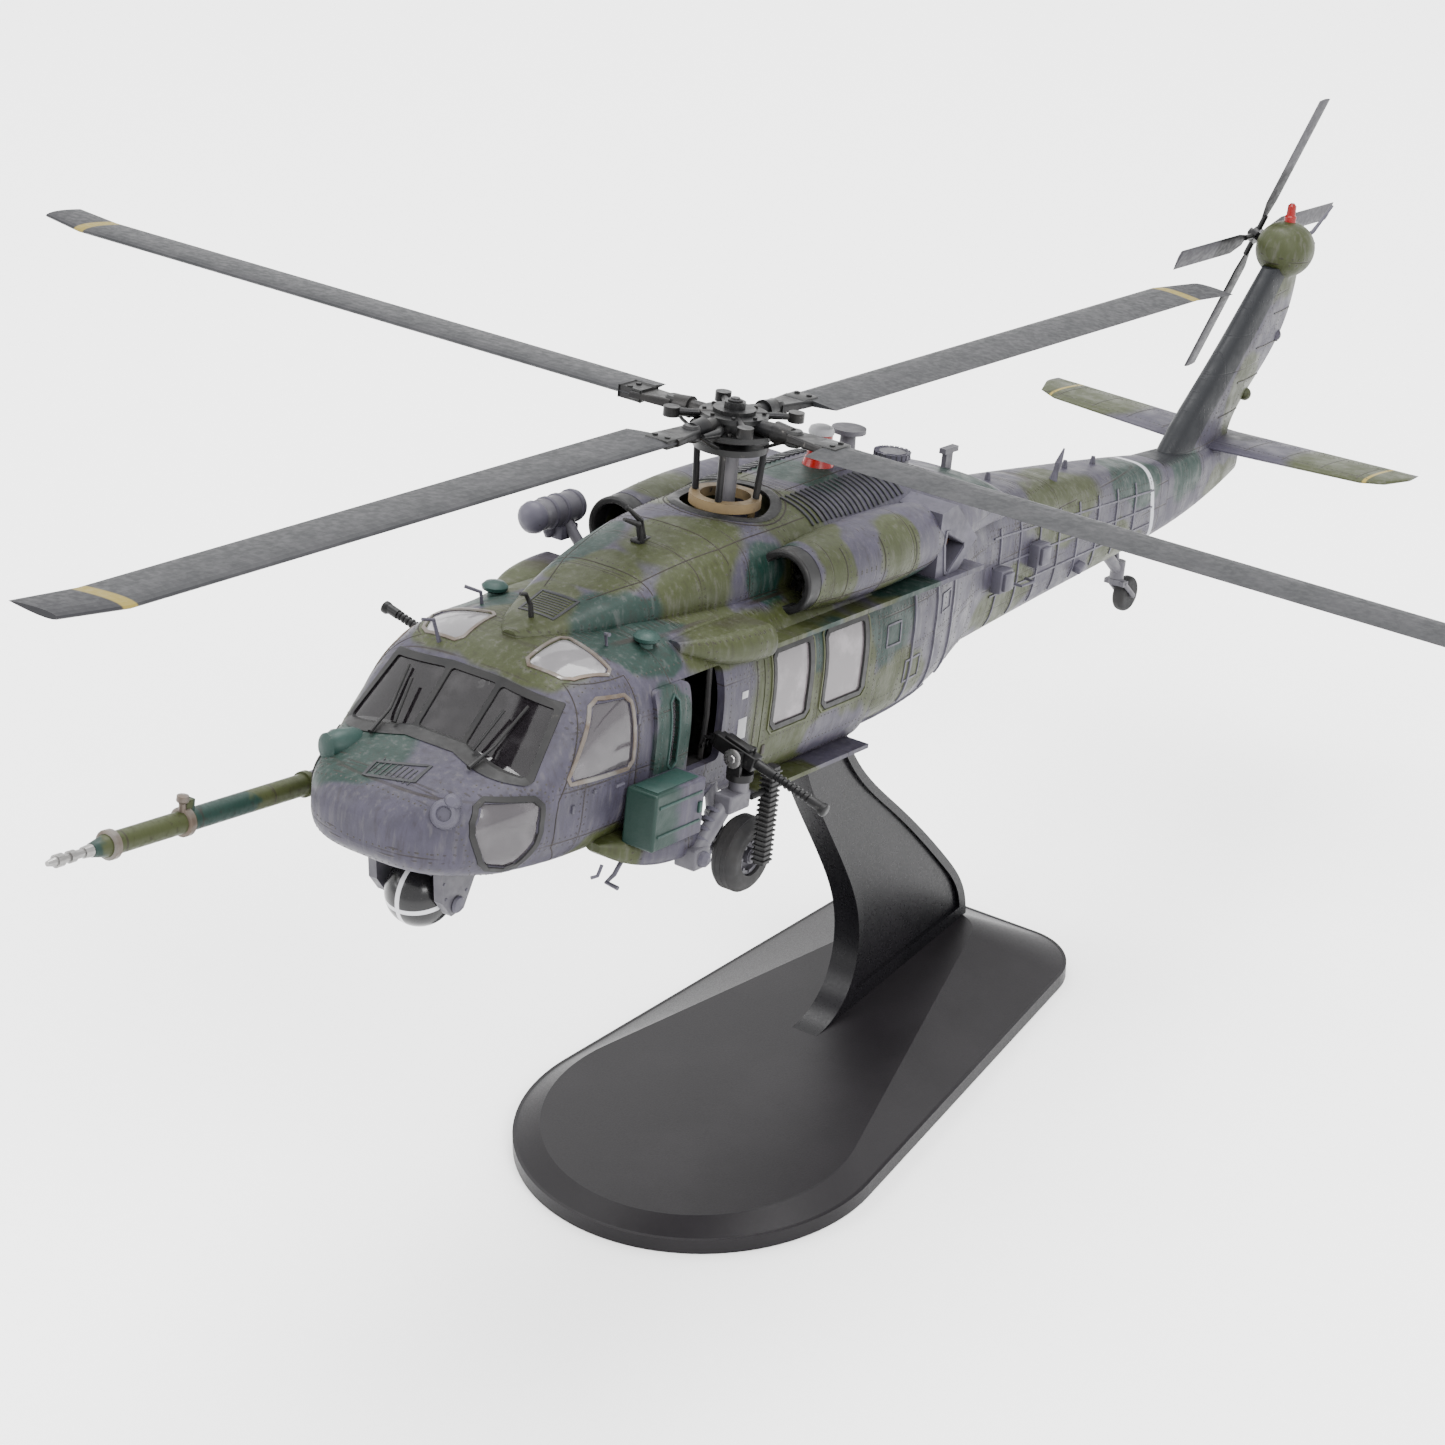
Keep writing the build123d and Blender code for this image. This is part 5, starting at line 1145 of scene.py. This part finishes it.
for name, side in SIDES.items():
    tilt = radians(-15 if side > 0 else 14)
    way = D(side * cos(tilt), 0, sin(tilt))
    rise = D(-side * sin(tilt), 0, cos(tilt))
    pivot = H(side * GUN[0], *GUN[1:])

    @piece(gun_metal, f"{name}_gun", prefix=name + "_")
    def gun_fittings(bm):
        for k in range(8):
            spot = pivot + way * (5.3 + 0.62 * k) * MM + rise * 0.0001
            lathe(bm, spot, way, [(0, 0.58), (0.22, 0.62), (0.3, 0.5)], 10)
        for y in (-0.5, 0.5):
            grip = pivot + AFT * y * MM
            bent = ((4.0, 0.0), (5.0, 0.4), (5.1, 2.0))
            tube(bm, [grip - (way * back + rise * drop) * MM for back, drop in bent], 0.22, 8)
        brick(bm, pivot - way * 0.0008 + rise * 0.0011, (3.6, 1.3, 0.5), 0.12, (way, AFT, rise))
        brick(bm, pivot + way * 0.0014 + rise * 0.0014, (0.3, 0.3, 0.7), 0.06, (way, AFT, rise))
        lathe(bm, pivot + way * 0.0116, way, [(0, 0.62), (0.3, 0.8), (0.8, 0.8), (0.95, 0.6)], 12)

    @piece(silver, f"{name}_gun", prefix=name + "_")
    def gun_disc(bm):
        disc = [(0, 1.15), (0.2, 1.15), (0.28, 0.9), (0.28, 0.5), (0.4, 0.4)]
        lathe(bm, pivot - AFT * side * 0.0019, -AFT * side, disc, 20)

    @piece(black, prefix=name + "_")
    def chute_ribs(bm):
        for k in range(19):
            brick(bm, H(side * 22.3, -18.0, -33.6 - 0.62 * k), (1.8, 2.0, 0.26), 0.08)

    @piece(gear, f"{name}_wheel", prefix=name + "_")
    def wheel_bolts(bm):
        centre = H(side * WHEEL[0], *WHEEL[1:])
        out = PORT * side
        for k in range(8):
            turn = k * pi / 4
            spot = centre + (AFT * cos(turn) + UP * sin(turn)) * 0.00185 + out * 0.0012
            lathe(bm, spot, out, [(0, 0.22), (0.25, 0.22), (0.3, 0.12)], 6)
        lathe(bm, centre + out * 0.00145, out, [(0, 0.8), (0.25, 0.75), (0.4, 0.4)], 16)

    @piece(tyre, f"{name}_wheel", prefix=name + "_")
    def tyre_ribs(bm):
        centre = H(side * WHEEL[0], *WHEEL[1:])
        for shift in (-0.7, 0.0, 0.7):
            rows = []
            for k in range(48):
                turn = 2 * pi * k / 48
                out = AFT * cos(turn) + UP * sin(turn)
                rows.append([bm.verts.new(centre + PORT * (shift + s) * MM + out * (4.6 + h) * MM)
                             for s, h in ((-0.17, -0.1), (-0.12, 0.05), (0.12, 0.05), (0.17, -0.1))])
            for first, second in zip(rows, rows[1:] + rows[:1]):
                strip(bm, first, second)

    @piece(gear, prefix=name + "_")
    def gear_fittings(bm):
        brake_pipe = [(15.1, -17.4, -43.0), (16.0, -20.6, -42.4), (16.9, -25.8, -41.8)]
        tube(bm, mirrored(side, brake_pipe), 0.24, 8)
        damper = [(0, 1.05), (0.5, 1.15), (2.6, 1.15), (3.0, 0.9)]
        lathe(bm, H(side * 14.9, -17.4, -43.6), D(0, -0.2, 1), damper, 14)
        brick(bm, H(side * 15.3, -18.0, -45.2), (1.6, 2.2, 1.5), 0.3)

    @piece(raised_grey_painted_highlight, prefix=name + "_")
    def gun_arm_fittings(bm):
        for k in range(4):
            place = H(side * 20.0, -27.9 + 0.8 * k, -40.6 + 0.95 * k)
            lathe(bm, place, D(0, 0.64, 0.76), [(0, 1.2), (0.35, 1.3), (0.5, 1.1)], 14)
        lathe(bm, H(side * 21.4, -29.1, -41.9), PORT * side, [(0, 1.0), (0.5, 0.9), (0.9, 0.4)], 14)
        brick(bm, H(side * 19.0, -26.4, -43.0), (2.2, 2.4, 1.6), 0.3)

    @piece(raised_teal_painted_highlight if side > 0 else raised_grey_painted_highlight, prefix=name + "_")
    def ammunition_box_ribs(bm):
        for z in (-33.4, -36.9):
            brick(bm, H(side * 21.0, -34.2, z), (0.3, 8.2, 0.35), 0.08)
        brick(bm, H(side * 21.1, -30.4, -35.2), (0.4, 0.7, 1.3), 0.1)
        brick(bm, H(side * 18.8, -34.2, -31.8), (3.2, 8.0, 0.3), 0.1)


@piece(raised_grey_painted_highlight)
def hoist_details(bm):
    lathe(bm, H(-18.0, -13.3, -14.3), -AFT, [(0, 1.9), (0.5, 2.05), (1.2, 1.9), (1.8, 1.3), (2.1, 0.5)], 20)
    for y in (-11.6, -9.4, -6.6):
        lathe(bm, H(-18.0, y, -14.3), AFT, [(0, 1.95), (0.1, 2.08), (0.5, 2.08), (0.6, 1.95)], 20)
    brick(bm, H(-17.3, -8.2, -16.9), (1.8, 3.4, 1.8), 0.3)
    lathe(bm, H(-18.2, -10.2, -17.6), UP, [(0, 0.4), (0.6, 0.7), (1.4, 0.5)], 12)


@piece(raised_grey_painted_highlight)
def roof_cap_teeth(bm):
    for k in range(20):
        turn = k * pi / 10
        out, across = D(sin(turn), cos(turn), 0), D(cos(turn), -sin(turn), 0)
        brick(bm, H(2.1 * sin(turn), 37.6 + 2.1 * cos(turn), -11.2), (0.5, 0.4, 0.7), 0.08, (out, across, UP))


@piece(trim_worn)
def probe_collars(bm):
    way = (PROBE_ROOT - PROBE_TIP).normalized()
    for along in (8.9, 20.6, 45.8):
        spot = PROBE_TIP + way * along
        lathe(bm, H(*spot), D(*way), [(0, 1.5), (0.15, 1.72), (0.9, 1.72), (1.05, 1.5)], 20)
    spot = PROBE_TIP + way * 21.0
    tube(bm, [H(*spot), H(spot.x, spot.y - 0.2, spot.z + 2.6)], [0.6, 0.4], 10)
    lathe(bm, H(spot.x, spot.y - 0.2, spot.z + 2.3), UP, [(0, 0.5), (0.3, 0.75), (0.9, 0.7), (1.0, 0.3)], 12)


@piece(black)
def wiper_arms(bm):
    cast = from_front(["windscreen_glass", "windscreen_frame", "fuselage_shell"])
    for side in SIDES.values():
        found = [cast(side * (7.0 + 0.25 * (z + 28.6)), z) for z in (-28.6, -26.8, -24.8, -22.8)]
        track = [place + normal * 0.00045 for place, normal in found if place is not None]
        if len(track) > 2:
            tube(bm, track, [0.3] + [0.17] * (len(track) - 1), 8)


@piece(raised_grey_painted_highlight)
def sensor_bracket_fittings(bm):
    for side in SIDES.values():
        boss = [(0, 0.95), (0.25, 1.05), (0.5, 0.85), (0.55, 0.4)]
        lathe(bm, H(side * 5.3, -53.6, -45.7), PORT * side, boss, 18)
        for y, z in ((-56.2, -42.6), (-51.2, -42.3), (-55.6, -44.6), (-52.0, -44.4)):
            lathe(bm, H(side * 5.3, y, z), PORT * side, [(0, 0.2), (0.12, 0.2), (0.16, 0.1)], 8)


@piece(seat_olive)
def cockpit_controls(bm):
    for side in SIDES.values():
        brick(bm, H(side * 6.5, -42.0, -34.9), (5.0, 4.6, 0.9), 0.3)
        brick(bm, H(side * 6.5, -39.6, -31.6), (4.6, 0.8, 6.6), 0.3)
        brick(bm, H(side * 6.5, -39.5, -27.2), (3.0, 0.8, 1.6), 0.3)
        stick = [(6.5, -46.6, -38.6), (6.5, -46.2, -35.4), (6.5, -45.8, -34.2)]
        tube(bm, mirrored(side, stick), [0.25, 0.2, 0.3], 8)


@piece(louvre_dark)
def instrument_dials(bm):
    for k in range(7):
        for row in (-32.0, -33.8):
            lathe(bm, H(-7.8 + 2.6 * k, -48.35, row), AFT, [(0, 0.6), (0.12, 0.65), (0.2, 0.5)], 12)


# ---- floor ----
floor_mesh = bpy.data.meshes.new("floor")
fm = bmesh.new()
steps = 24
for i in range(steps + 1):
    for j in range(steps + 1):
        fm.verts.new((-3 + 6 * i / steps, -3 + 6 * j / steps, -0.0001))
fm.verts.ensure_lookup_table()
for i in range(steps):
    for j in range(steps):
        a = i * (steps + 1) + j
        fm.faces.new((fm.verts[a], fm.verts[a + steps + 1], fm.verts[a + steps + 2], fm.verts[a + 1]))
fm.to_mesh(floor_mesh)
fm.free()
floor_sh = Shader("floor_white")
floor_grain = floor_sh.noise(600, 4.0)
floor_sh.bump(floor_grain, 0.03, 0.00005)
floor_colour = floor_sh.mix(floor_grain, (0.93, 0.93, 0.93), (0.90, 0.90, 0.90))
floor_mesh.materials.append(floor_sh.finish(floor_colour, 0.7))
floor = bpy.data.objects.new("floor", floor_mesh)
bpy.context.scene.collection.objects.link(floor)
